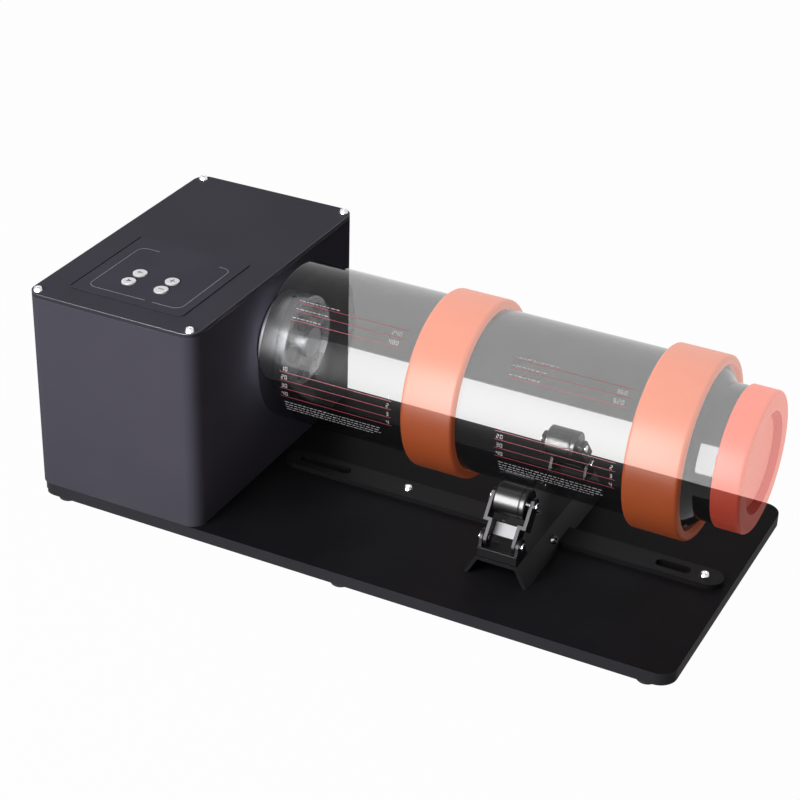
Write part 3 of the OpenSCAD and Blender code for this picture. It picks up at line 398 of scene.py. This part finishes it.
def tinted(name, dark, light, tint, share, rough, painted_glow, **fixed):
    """A clear coloured plastic: a share of lit plastic over a tint of what lies behind, where it is the first layer.
    The painted glow is emission: painted light for light that has come through the plastic from elsewhere."""
    material, wire = blank(name)
    slow = noise(wire, CLEAR_CLOUD)
    shade = mixed(wire, slow, dark, light)
    # The emission is painted light: the plastic's own shade glows, for light come through it from elsewhere.
    sockets = {
        "Base Color": shade,
        "Roughness": between(slow, rough),
        "Emission Color": shade,
        "Emission Strength": painted_glow,
    }
    sockets.update(fixed)
    lit_plastic = wire.node("ShaderNodeBsdfPrincipled", sockets=sockets)
    behind = wire.node("ShaderNodeBsdfTransparent", sockets={"Color": tint})
    clear = wire.node("ShaderNodeBsdfTransparent", sockets={"Color": (1, 1, 1, 1)})
    wall = wire.node("ShaderNodeMixShader", sockets={0: between(slow, share), 1: behind, 2: lit_plastic})
    whole = wire.node("ShaderNodeMixShader", sockets={0: first_layer(wire), 1: clear, 2: wall})
    wire.node("ShaderNodeOutputMaterial", sockets={"Surface": whole})
    return material


print("clear and tinted walls ready")

# %% Plastics of the tank
SMOKE = (rgb(14, 14, 16), rgb(20, 20, 22), (0.72, 0.76), (0.06, 0.1))
smoke = see_through("smoked_plastic", *SMOKE, **{SPECULAR: 0.28})
body_smoke = see_through("smoked_body", *SMOKE, strip=0.7, **{SPECULAR: 0.28})
bore = see_through("clear_bore", rgb(60, 60, 62), rgb(70, 70, 72), (0.02, 0.03), (0.2, 0.3), **{SPECULAR: 0.0})
# The rings and the cap glow by painted light, the cap most.
orange = tinted("orange_plastic", rgb(248, 112, 50), rgb(252, 122, 58), (1.0, 0.585, 0.5, 1), (0.4, 0.44),
                (0.34, 0.42), painted_glow=0.12, **{SPECULAR: 0.3})
cap_orange = tinted("cap_plastic", rgb(250, 92, 68), rgb(253, 102, 78), (1.0, 0.52, 0.45, 1), (0.32, 0.36),
                    (0.34, 0.42), painted_glow=0.36, **{SPECULAR: 0.3})
# The lip's deeper tint is painted shade in the cap's dish.
cap_lip_painted_shade = tinted("cap_lip_painted_shade", rgb(214, 70, 58), rgb(222, 80, 66), (0.86, 0.38, 0.35, 1), (0.32, 0.36),
                 (0.42, 0.5), painted_glow=0.3, **{SPECULAR: 0.18})
finishes.update(tank_plastic=smoke, ring_orange=orange, cap_orange=cap_orange)
finishes["seal"] = see_through("clear_seal", rgb(90, 90, 92), rgb(110, 110, 112), (0.5, 0.6), (0.4, 0.5))
print("clear plastics ready")

# %% [markdown]
# ## Pieces from arrays
# A turned piece is a profile carried round the tank's axis: station, radius and angle give a point, all at once
# as arrays. Rows of the grid are profile points and columns are angles, so the faces follow from the row numbers.
# A Screw modifier could turn the profile too, but here each face is known by its row, so a run of the profile can
# have a finish of its own.


# %% Arrays into a mesh
SHARP, MERGE = 30, 1e-7


def piece(name, verts, faces, body, materials, indices=None, nodes=()):
    """Puts arrays into a mesh, merges poles and seams, turns faces outwards, and rides the piece on its body."""
    mesh = bpy.data.meshes.new(name)
    mesh.from_pydata(np.asarray(verts).tolist(), [], np.asarray(faces).tolist())
    for material in materials:
        mesh.materials.append(material)
    if indices is not None:
        mesh.polygons.foreach_set("material_index", np.asarray(indices, np.int32))
    shell = bmesh.new()
    shell.from_mesh(mesh)
    bmesh.ops.remove_doubles(shell, verts=shell.verts, dist=MERGE)
    bmesh.ops.recalc_face_normals(shell, faces=shell.faces)
    shell.to_mesh(mesh)
    shell.free()
    mesh.shade_smooth()
    mesh.set_sharp_from_angle(angle=np.radians(SHARP))
    made = bpy.data.objects.new(name, mesh)
    bpy.context.scene.collection.objects.link(made)
    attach(made, body)
    if nodes:
        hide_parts(*nodes)
    return made


print("edges over", SHARP, "degrees stay sharp")

# %% Turned walls
COLUMNS = 144


def grid_faces(rows, columns):
    """Quads of a grid of rows and columns, joined from the last column to the first."""
    row = np.arange(rows - 1)[:, None] * columns
    column = np.arange(columns)[None, :]
    right = (column + 1) % columns
    return np.stack([row + column, row + right, row + columns + right, row + columns + column], -1).reshape(-1, 4)


def arc(station, radius, bend, start, end, steps=6):
    """Profile points of a round edge: angle 0 points outwards from the axis, and 90 towards +X."""
    angle = np.radians(np.linspace(start, end, steps))
    return np.stack([station + bend * np.sin(angle), radius + bend * np.cos(angle)], 1).tolist()


def turned(profile, axis_z):
    """Surface of revolution about a line along X at a height: a point at station s, radius r and angle t is
    (s, r sin t, axis_z + r cos t). The last profile point joins the first."""
    loop = np.array(list(profile) + [profile[0]])
    angle = np.linspace(0, 2 * np.pi, COLUMNS, endpoint=False)
    x = np.repeat(loop[:, 0], COLUMNS)
    y = np.outer(loop[:, 1], np.sin(angle)).ravel()
    z = axis_z + np.outer(loop[:, 1], np.cos(angle)).ravel()
    return np.stack([x, y, z], 1), grid_faces(len(loop), COLUMNS)


print("tank axis at height", round(AXIS_Z, 2), "mm")

# %% [markdown]
# ## The tank
# The real bodies are injection moulded tubes, plugged into each other and held by the orange rings.
# A tube could be one open sheet, but its ends would look like paper. So each is one closed wall, outside and inside.
# The smoke is on the outside and the bore is nearly clear, so that one wall is one layer in any viewer.


# %% Walls and stations
def shell_piece(name, body, materials, node, outside, inside=(), rest=()):
    """A turned wall from a closed run of profile points in mm, outside first and back along the inside. The runs
    that start from the inside points take the second material."""
    profile = [*outside, *inside, *rest]
    verts, faces = turned(np.array(profile) * MM, AXIS_Z * MM)
    place = np.arange(len(profile)) - len(outside)
    second = (place >= 0) & (place < len(inside))
    return piece(name, verts, faces, body, materials, np.repeat(second, COLUMNS), [node])


def span(node):
    """First and last station of a node along X, in mm."""
    low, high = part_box(node)
    return low.x / MM, high.x / MM


TANK_R, BORE_R, SPIGOT_R, SPIGOT_BORE = 45.0, 42.5, 42.3, 39.8
JOINT_L, EDGE, FLOOR_T, SKIRT_STEP = 12.0, 1.5, 2.5, 0.3
TAPER_FROM, TAPER_TO, LEAD_L, LEAD_R = 5, 2, 1.5, 0.8
skirt, joint_1 = span("first_tank_body")
floor_station = span("magnet_base")[1]
joint_2 = span("second_tank_body")[1]
neck_end = span("funnel_lid")[1]


def spigot(joint):
    """Profile of a plugged end: its bore's end, its face, and a lead-in up to its full radius."""
    end = joint - JOINT_L
    return [[end, SPIGOT_BORE], [end, SPIGOT_R - LEAD_R], [end + LEAD_L, SPIGOT_R]]


print("tank walls from", round(skirt, 1), "to", round(neck_end, 1), "mm")

# %% Tank bodies
shell_piece(
    "first_body_shell", "tank", [body_smoke, bore], "first_tank_body",
    [[skirt, BORE_R - SKIRT_STEP], *arc(skirt + EDGE, TANK_R - EDGE, EDGE, -90, 0), [joint_1, TANK_R]],
    [[joint_1, BORE_R], [floor_station + FLOOR_T, BORE_R]],
    [[floor_station + FLOOR_T, 0], [floor_station, 0], [floor_station, BORE_R - SKIRT_STEP]])
shell_piece(
    "second_body_shell", "tank_extension", [body_smoke, bore], "second_tank_body",
    [[joint_1, SPIGOT_R], [joint_1, TANK_R], [joint_2, TANK_R]],
    [[joint_2, BORE_R], [joint_1 + TAPER_FROM, BORE_R], [joint_1 + TAPER_TO, SPIGOT_BORE]],
    spigot(joint_1))
print("bodies joined at", round(joint_1, 1), "mm")

# %% Funnel
NECK_R, NECK_WALL, CONE_BACK, CONE_SLOPE, CONE_IN = 37.0, 3.5, 3.0, 0.8, 1
cone = span("second_clamp_ring")[1] - CONE_BACK
cone_end = cone + (TANK_R - NECK_R) * CONE_SLOPE
shell_piece(
    "funnel_shell", "funnel", [smoke, bore], "funnel_lid",
    [[joint_2, SPIGOT_R], [joint_2, TANK_R], [cone, TANK_R], [cone + 0.4, TANK_R - 0.2],
     [cone_end - 0.5, NECK_R + 0.4], [cone_end, NECK_R + 0.05], [cone_end + 0.8, NECK_R], [neck_end, NECK_R]],
    [[neck_end, NECK_R - NECK_WALL], [cone_end, NECK_R - NECK_WALL], [cone - CONE_IN, SPIGOT_BORE]],
    spigot(joint_2))
print("neck from", round(cone_end, 1), "to", round(neck_end, 1), "mm")

# %% [markdown]
# ## Rings and cap
# The rings are moulded bands that slide over the joints, and the cap is a dished lid over the neck. All three could
# be plain tubes with a Bevel, but their round edges carry most of the colour's gradient, so the profile holds each of
# them as an arc. The cap's lip is the second run of its profile, in a deeper tint that is painted shade in the dish.

# %% Rings and cap
RING_R = (ring_high.z - ring_low.z) / 2 / MM
RING_BORE, RING_EDGE, BORE_EDGE, ARC_STEPS = 45.25, 2.2, 0.4, 8
for node in ("first_clamp_ring", "second_clamp_ring"):
    start, end = span(node)
    low = arc(start + RING_EDGE, RING_R - RING_EDGE, RING_EDGE, -90, 0, ARC_STEPS)
    high = arc(end - RING_EDGE, RING_R - RING_EDGE, RING_EDGE, 0, 90, ARC_STEPS)
    shell_piece(
        node + "_shell", body_of_node[node], [orange], node,
        [[start, RING_BORE + BORE_EDGE], *low, *high, [end, RING_BORE + BORE_EDGE], [end - BORE_EDGE, RING_BORE],
         [start + BORE_EDGE, RING_BORE]])
CAP_R, CAP_BORE, CAP_EDGE, CAP_CHAMFER, CAP_FACE_T = 38.35, 37.15, 1.8, 0.6, 5.9
DISH_R, DISH, LIP_R, DISH_FILLET = 27.0, 3.75, 0.8, ((0.5, 1.6), (0, 2.4))
cap_start, cap_end = span("tank_cap")
rim = arc(cap_end - CAP_EDGE, CAP_R - CAP_EDGE, CAP_EDGE, 0, 90, ARC_STEPS)
lip = arc(cap_end - LIP_R, DISH_R + LIP_R, LIP_R, 90, 180)
fillet_top, fillet_foot = ([cap_end - DISH + up, DISH_R - inwards] for up, inwards in DISH_FILLET)
shell_piece(
    "cap_shell", "cap", [cap_orange, cap_lip_painted_shade], "tank_cap",
    [[cap_start, CAP_BORE], [cap_start, CAP_R - CAP_CHAMFER], [cap_start + CAP_CHAMFER, CAP_R], *rim],
    [*lip, fillet_top],
    [fillet_foot, [cap_end - DISH, 0], [cap_end - CAP_FACE_T, 0], [cap_end - CAP_FACE_T, CAP_BORE]])
print("rings of radius", round(RING_R, 2), "mm, cap of", CAP_R)

# %% [markdown]
# ## Printing on the tank
# A scale is screen printed on each tank body: red rules, plain numbers and lines of fine marks. A texture could hold
# it, but it would blur close up. Ink is a layer of a few hundredths of a millimetre, so each mark is a thin block bent
# onto the tank. Numbers are set from straight strokes, as on a counter, because a few blocks do for a figure that is
# two millimetres high.

# %% Inks and printed blocks
white_ink = surface("white_ink", rgb(176, 176, 181), rgb(200, 200, 205), (0.4, 0.5), cloud=400)
red_ink = surface("red_ink", rgb(164, 36, 56), rgb(184, 48, 68), (0.4, 0.5), cloud=400)
INK = (0.02, 0.08)                     # bottom and top of the ink over its surface, in mm
BLOCK_FACES = np.array([[3, 2, 1, 0], [4, 5, 6, 7], [0, 1, 5, 4], [1, 2, 6, 5], [2, 3, 7, 6], [3, 0, 4, 7]])


def block_faces(count):
    """Faces of many blocks of eight corners: the faces of one block, shifted by eight for each next one."""
    return (np.arange(count)[:, None, None] * 8 + BLOCK_FACES).reshape(-1, 4)


def tank_print(name, marks, body, ink):
    """Blocks bent onto the tank. A mark goes from one station to another along X and from one angle to another, up
    from the keypad side: a corner at station s, angle a and radius r is (s, -r cos a, axis + r sin a)."""
    marks = np.array(marks)
    station = marks[:, [0, 1, 1, 0]]
    angle = np.radians(marks[:, [2, 2, 3, 3]])
    layers = [np.stack([station, -radius * np.cos(angle), AXIS_Z + radius * np.sin(angle)], -1)
              for radius in np.add(TANK_R, INK)]
    verts = np.concatenate(layers, axis=1).reshape(-1, 3) * MM
    return piece(name, verts, block_faces(len(marks)), body, [ink])


print("ink from", INK[0], "to", INK[1], "mm over the tank")

# %% Figures and fine print
STROKES = {"0": "abcdef", "1": "bc", "2": "abged", "3": "abgcd", "4": "fgbc", "5": "afgcd", "6": "afgedc",
           "8": "abcdefg"}
FIGURE_W, FIGURE_H, FIGURE_GAP, STROKE, STROKE_GAP = 1.5, 2.4, 0.6, 0.34, 0.05
DEGREES = np.degrees(1 / TANK_R)


def figures(text, station, angle):
    """Marks of a plain number whose lower left corner is at a station and angle: up to seven strokes a figure."""
    inner = (STROKE + STROKE_GAP, FIGURE_W - STROKE - STROKE_GAP)
    low, high = (STROKE_GAP, FIGURE_H / 2 - STROKE_GAP), (FIGURE_H / 2 + STROKE_GAP, FIGURE_H - STROKE_GAP)
    left, right = (0, STROKE), (FIGURE_W - STROKE, FIGURE_W)
    waist = (FIGURE_H / 2 - STROKE / 2, FIGURE_H / 2 + STROKE / 2)
    places = {"a": (*inner, FIGURE_H - STROKE, FIGURE_H), "b": (*right, *high), "c": (*right, *low),
              "d": (*inner, 0, STROKE), "e": (*left, *low), "f": (*left, *high), "g": (*inner, *waist)}
    strokes = np.array([np.add(places[stroke], (place * (FIGURE_W + FIGURE_GAP),) * 2 + (0, 0))
                        for place, figure in enumerate(text) for stroke in STROKES[figure]])
    return (strokes * (1, 1, DEGREES, DEGREES) + (station, station, angle, angle)).tolist()


DASH, DASH_MORE, DASH_GAP, DASH_HALF, DASHES, PHASE, GOLDEN = 0.8, 1.9, 0.8, 0.2, 60, 7, 0.618


def fine_line(start, end, angle, phase):
    """Marks of a line of fine print: dashes whose lengths follow the golden ratio, so no two lines are alike."""
    steps = DASH + DASH_MORE * ((np.arange(DASHES) + phase * PHASE) * GOLDEN % 1)
    ends = start + np.cumsum(steps + DASH_GAP)
    ends = ends[ends < end]
    half = DASH_HALF * DEGREES
    return np.stack([ends - steps[:len(ends)], ends, ends * 0 + angle - half, ends * 0 + angle + half], 1).tolist()


print("a figure is", FIGURE_H, "mm high")

# %% Scales
RULE_HALF = 0.12 * DEGREES
UPPER_RULES, LOWER_RULES = (56.5, 50.0, 43.2), (6.0, -0.3, -7.0, -14.0)
FINE_ANGLES = (-19.5, -22.2, -24.9, -27.6)
HEAD_L, HEAD_LESS, HEAD_UP = 26, 4, 1.8
VOLUME_BACK, VOLUME_UP, FIGURE_IN, FIGURE_BACK, FIGURE_UP, LAST_LESS = 9, 1.2, 1, 3, 1.0, 5
scales = (("tank", -64.0, 4.0, -3.0, ("240", "480")), ("tank_extension", 64.5, 132.0, 125.0, ("360", "520")))
for body, start, end, fine_end, volumes in scales:
    rules = [(start, end, angle - RULE_HALF, angle + RULE_HALF) for angle in UPPER_RULES + LOWER_RULES]
    tank_print(body + "_rules", rules, body, red_ink)
    print_marks = []
    for place, angle in enumerate(UPPER_RULES):
        print_marks += fine_line(start, start + HEAD_L - HEAD_LESS * place, angle + HEAD_UP, place)
    for angle, volume in zip(UPPER_RULES[1:], volumes):
        print_marks += figures(volume, end - VOLUME_BACK, angle + VOLUME_UP)
    for place, angle in enumerate(LOWER_RULES):
        print_marks += figures(str(10 * (place + 1)), start + FIGURE_IN, angle + FIGURE_UP)
        print_marks += figures(str(place + 1), end - FIGURE_BACK, angle + FIGURE_UP)
    for place, angle in enumerate(FINE_ANGLES):
        line_end = fine_end - LAST_LESS * (angle == FINE_ANGLES[-1])
        print_marks += fine_line(start + FIGURE_IN, line_end, angle, place + len(UPPER_RULES))
    tank_print(body + "_figures", print_marks, body, white_ink)
    print(body, "scale:", len(rules), "rules and", len(print_marks), "marks")

# %% [markdown]
# ## Sheet, plate and housing with real edges
# A CAD solid has knife edges, and a real one never has: its edges are broken, and they catch the light.
# The pieces could be modelled again, but their shapes are right. So we take a merged copy of the node, join its flat
# facets, and let a Bevel modifier round what is left. The lid's rounding takes a paler shade, a painted highlight, and
# the plate's sides are painted paler than its top, as painted light on them.


# %% Refined copies
CAD_MERGE, FLAT, BEVEL_STEPS = 2e-6, 0.5, 3


def refined(node, width, material=None):
    """A merged copy of a CAD node whose sharp edges get a Bevel of that width in mm."""
    source = frame["nodes"][node]
    mesh = source.data.copy()
    mesh.name = node + "_finished"
    shell = bmesh.new()
    shell.from_mesh(mesh)
    bmesh.ops.remove_doubles(shell, verts=shell.verts, dist=CAD_MERGE)
    bmesh.ops.dissolve_limit(shell, angle_limit=np.radians(FLAT), verts=shell.verts, edges=shell.edges)
    shell.to_mesh(mesh)
    shell.free()
    mesh.shade_smooth()
    mesh.materials.clear()
    mesh.materials.append(material or finishes[slot_of_node[node]])
    made = bpy.data.objects.new(node + "_finished", mesh)
    bpy.context.scene.collection.objects.link(made)
    edge = made.modifiers.new("broken_edge", "BEVEL")
    edge.width = width * MM
    edge.segments = BEVEL_STEPS
    edge.limit_method = "ANGLE"
    edge.angle_limit = np.radians(SHARP)
    made.modifiers.new("flat_faces", "WEIGHTED_NORMAL")
    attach(made, body_of_node[node])
    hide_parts(node)
    return made


print("bevels of", BEVEL_STEPS, "steps")


# %% Broken edges
def face_vectors(mesh, name):
    """The normals or the middles of a mesh's faces, a row each."""
    values = np.empty(len(mesh.polygons) * 3)
    mesh.polygons.foreach_get(name, values)
    return values.reshape(-1, 3)


edge_widths = {
    "base_plate": 0.9, "guide_rail": 0.4, "housing_shell": 0.3, "lid": 0.6, "keypad_overlay": 0.5,
    "carriage_saddle": 0.3, "guide_shoe": 0.3, "near_bracket": 0.3, "far_bracket": 0.3,
    "drive_hub": 0.4, "rubber_feet": 0.5, "pivot_pins": 0.5, "near_axle": 0.5, "far_axle": 0.5,
    "start_button": 0.35, "reverse_button": 0.35, "faster_button": 0.35, "slower_button": 0.35,
    "lid_screws": 0.35, "rail_screws": 0.35, "shoe_screws": 0.35, "clamp_screw": 0.2,
    "near_roller": 0.25, "far_roller": 0.25, "power_jack": 0.2,
}
for node, width in edge_widths.items():
    made = refined(node, width, material=dark_screw if node in ("shoe_screws", "clamp_screw") else None)
    if node == "lid":
        # The lid's rounding takes a paler, half-metal shade: a painted highlight along its edges.
        made.data.materials.append(lid_edge_highlight)
        made.modifiers["broken_edge"].material = 1
    # Upright faces of the plate are painted paler than its top, as painted light.
    if node == "base_plate":
        made.data.materials.append(plate_side_painted_light)
        upright = np.abs(face_vectors(made.data, "normal")[:, 2]) < 0.5
        made.data.polygons.foreach_set("material_index", upright.astype(np.int32))
print(len(edge_widths), "pieces with broken edges")

# %% [markdown]
# ## The roller arms
# Each yoke is cut and folded from sheet that is black outside, so its cut edges stay bare metal, and so does the web
# between the arms. Only the faces that look outwards get them: the edges a pale grey that is also a painted highlight,
# the web a near white that is also a painted reflection. A yoke could be split into three pieces, but one mesh can
# hold
# three finishes: a face takes its finish from where it is and where it faces.
# The direction from the pivot to the axle gives the arm's lean, and the outer side is square to it.


# %% Yokes
def middle(node):
    """Middle of a node's box."""
    low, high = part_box(node)
    return (low + high) / 2


PIVOT_HEAD_R, ARM_GAP_HALF, YOKE_EDGE, SQUARE_ON = 2.1 * MM, 7.2 * MM, 0.3, 0.9
pins_low, pins_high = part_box("pivot_pins")
for side, away in (("near", -1), ("far", 1)):
    yoke = refined(side + "_yoke", YOKE_EDGE, material=finishes["black_sheet"])
    yoke.data.materials.append(cut_edge_painted_highlight)
    yoke.data.materials.append(bare_web_painted_reflection)
    axle = middle(side + "_axle")
    pivot_y = away * (pins_high.y - PIVOT_HEAD_R)
    arm = np.array([0, axle.y - pivot_y, axle.z - (pins_low.z + pins_high.z) / 2])
    outward = np.array([0, away * arm[2], -away * arm[1]]) / np.linalg.norm(arm)
    facing = face_vectors(yoke.data, "normal") @ outward
    on_web = np.abs(face_vectors(yoke.data, "center")[:, 0] - axle.x) < ARM_GAP_HALF
    # Outward faces are paler: a painted highlight on the edges and a painted reflection on the web.
    finish = np.where(facing > SQUARE_ON, np.where(on_web, 2, 1), 0)
    yoke.data.polygons.foreach_set("material_index", finish.astype(np.int32))
    print(side, "yoke:", np.bincount(finish, minlength=3).tolist(), "faces black, cut and bare")

# %% [markdown]
# ## Printing on the keypad
# The film over the keys has one thin frame line, left open for a bare field at the back and one in front, and a plain
# sign on each key. A dark line along its left edge is a painted shadow. Curve objects could draw the lines, but they
# would have to be made meshes first. So a line is a flat profile carried along a path, and a sign is a few flat
# blocks.

# %% Keypad print
line_ink = surface("line_ink", rgb(132, 132, 140), rgb(152, 152, 160), (0.45, 0.55), cloud=400)
# A near black ink for the painted shadow at the film's left edge.
shadow_line_ink = surface("shadow_line_ink", rgb(14, 14, 16), rgb(20, 20, 22), (0.6, 0.7), cloud=400, **{SPECULAR: 0.0})
film_low, film_high = (np.array(corner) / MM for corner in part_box("keypad_overlay"))
LINE_W, LINE_R, BEND_STEPS = 0.32, 5.0, 10


def ribbon(name, path, width, ink):
    """A flat line on the film along a path in mm: each path point is moved half the width to both sides, square to
    the path, on two levels just above the film."""
    path = np.array(path)
    along = np.gradient(path, axis=0)
    along /= np.linalg.norm(along, axis=1)[:, None]
    across = np.stack([-along[:, 1], along[:, 0]], 1) * width / 2
    corners = [np.column_stack([path + side * across, np.full(len(path), film_high[2] + level)])
               for side, level in ((-1, INK[0]), (1, INK[0]), (1, INK[1]), (-1, INK[1]))]
    verts = np.stack(corners, 1).reshape(-1, 3) * MM
    last = (len(path) - 1) * 4
    ends = [[0, 1, 2, 3], [last + 3, last + 2, last + 1, last]]
    faces = np.concatenate([grid_faces(len(path), 4), ends])
    return piece(name, verts, faces, body_of_node["keypad_overlay"], [ink])


def bend(x, y, start):
    """A quarter circle of the line's radius about a point, from a start angle, turning left."""
    angle = np.radians(np.linspace(start, start + 90, BEND_STEPS))
    return np.stack([x + LINE_R * np.cos(angle), y + LINE_R * np.sin(angle)], 1).tolist()


print("lines of", LINE_W, "mm on the film")

# %% Frame line and painted shadow line
LEFT_IN, RIGHT_IN, NEAR_IN, FAR_IN = 8.5, 5.5, 6.0, 12.0
FAR_LEFT_L, FAR_RIGHT_L, NEAR_BREAK, STRAIGHT = 12, 8, (37, 42), 1
left, right = film_low[0] + LEFT_IN, film_high[0] - RIGHT_IN
near, far = film_low[1] + NEAR_IN, film_high[1] - FAR_IN
first_half = [[left + FAR_LEFT_L, far], [left + LINE_R + STRAIGHT, far], *bend(left + LINE_R, far - LINE_R, 90),
              *bend(left + LINE_R, near + LINE_R, 180), [left + NEAR_BREAK[0], near]]
second_half = [[left + NEAR_BREAK[1], near], *bend(right - LINE_R, near + LINE_R, 270),
               *bend(right - LINE_R, far - LINE_R, 0), [right - FAR_RIGHT_L, far]]
ribbon("frame_line_left", first_half, LINE_W, line_ink)
ribbon("frame_line_right", second_half, LINE_W, line_ink)
# The dark line along the film's left edge is a painted shadow.
SHADOW_LINE_W, SHADOW_LINE_SHORT = 0.6, 1
shadow_line_x = film_low[0] + SHADOW_LINE_W * 1.5
ribbon("film_painted_shadow", [[shadow_line_x, film_low[1] + SHADOW_LINE_SHORT], [shadow_line_x, film_high[1] - SHADOW_LINE_SHORT]], SHADOW_LINE_W, shadow_line_ink)
print("frame line from", round(left, 1), "to", round(right, 1), "mm")

# %% Key signs
grey_ink = surface("grey_ink", rgb(96, 98, 110), rgb(112, 114, 126), (0.45, 0.55), cloud=400)


def key_sign(node, shapes):
    """Flat blocks on a key: each shape is four corners in mm about the key's middle, on two levels above its top."""
    low, high = (np.array(corner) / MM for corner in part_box(node))
    shapes = np.array(shapes) + (low[:2] + high[:2]) / 2
    levels = [np.concatenate([shapes, np.full((len(shapes), 4, 1), high[2] + level)], 2) for level in INK]
    verts = np.concatenate(levels, axis=1).reshape(-1, 3) * MM
    return piece(node + "_sign", verts, block_faces(len(shapes)), body_of_node[node], [grey_ink])


def bar(x0, x1, y0, y1):
    """Corners of an upright rectangle."""
    return [(x0, y0), (x1, y0), (x1, y1), (x0, y1)]


THIN, LONG, TIP, SIGN_GAP = 0.32, 1.7, 0.06, 0.05
key_sign("start_button", [[(-1.1, -1.5), (1.6, -TIP), (1.6, TIP), (-1.1, 1.5)]])
key_sign("reverse_button", [[(-LONG, -TIP), (-0.4, -1.2), (-0.4, 1.2), (-LONG, TIP)], bar(-0.3, LONG, -THIN, THIN)])
key_sign("faster_button", [bar(-LONG, LONG, -THIN, THIN), bar(-THIN, THIN, THIN + SIGN_GAP, LONG),
                           bar(-THIN, THIN, -LONG, -THIN - SIGN_GAP)])
key_sign("slower_button", [bar(-LONG, LONG, -THIN, THIN)])
print("four key signs")

# %% [markdown]
# ## What stays as it is
# Small parts, most of them inside the housing, keep their CAD shapes, because these are right. They could be copied
# and bevelled too, but it would hardly show. They still get the finish of what they are made of, in every material
# slot. The magnet base and its magnets are ghosted too, so that the hub shows through them.

# %% Finishes on carried nodes
carried = 0
for node, holder in frame["nodes"].items():
    for holder_slot in holder.material_slots:
        holder_slot.material = finishes[slot_of_node[node]]
    carried += not holder.hide_render
ghosted = see_through("ghosted_base", rgb(24, 24, 26), rgb(30, 30, 32), (0.2, 0.24), (0.3, 0.4),
                      seen=from_outside)
for node in ("magnet_base", "tank_magnets"):
    for holder_slot in frame["nodes"][node].material_slots:
        holder_slot.material = ghosted
print(carried, "CAD nodes keep their shape")
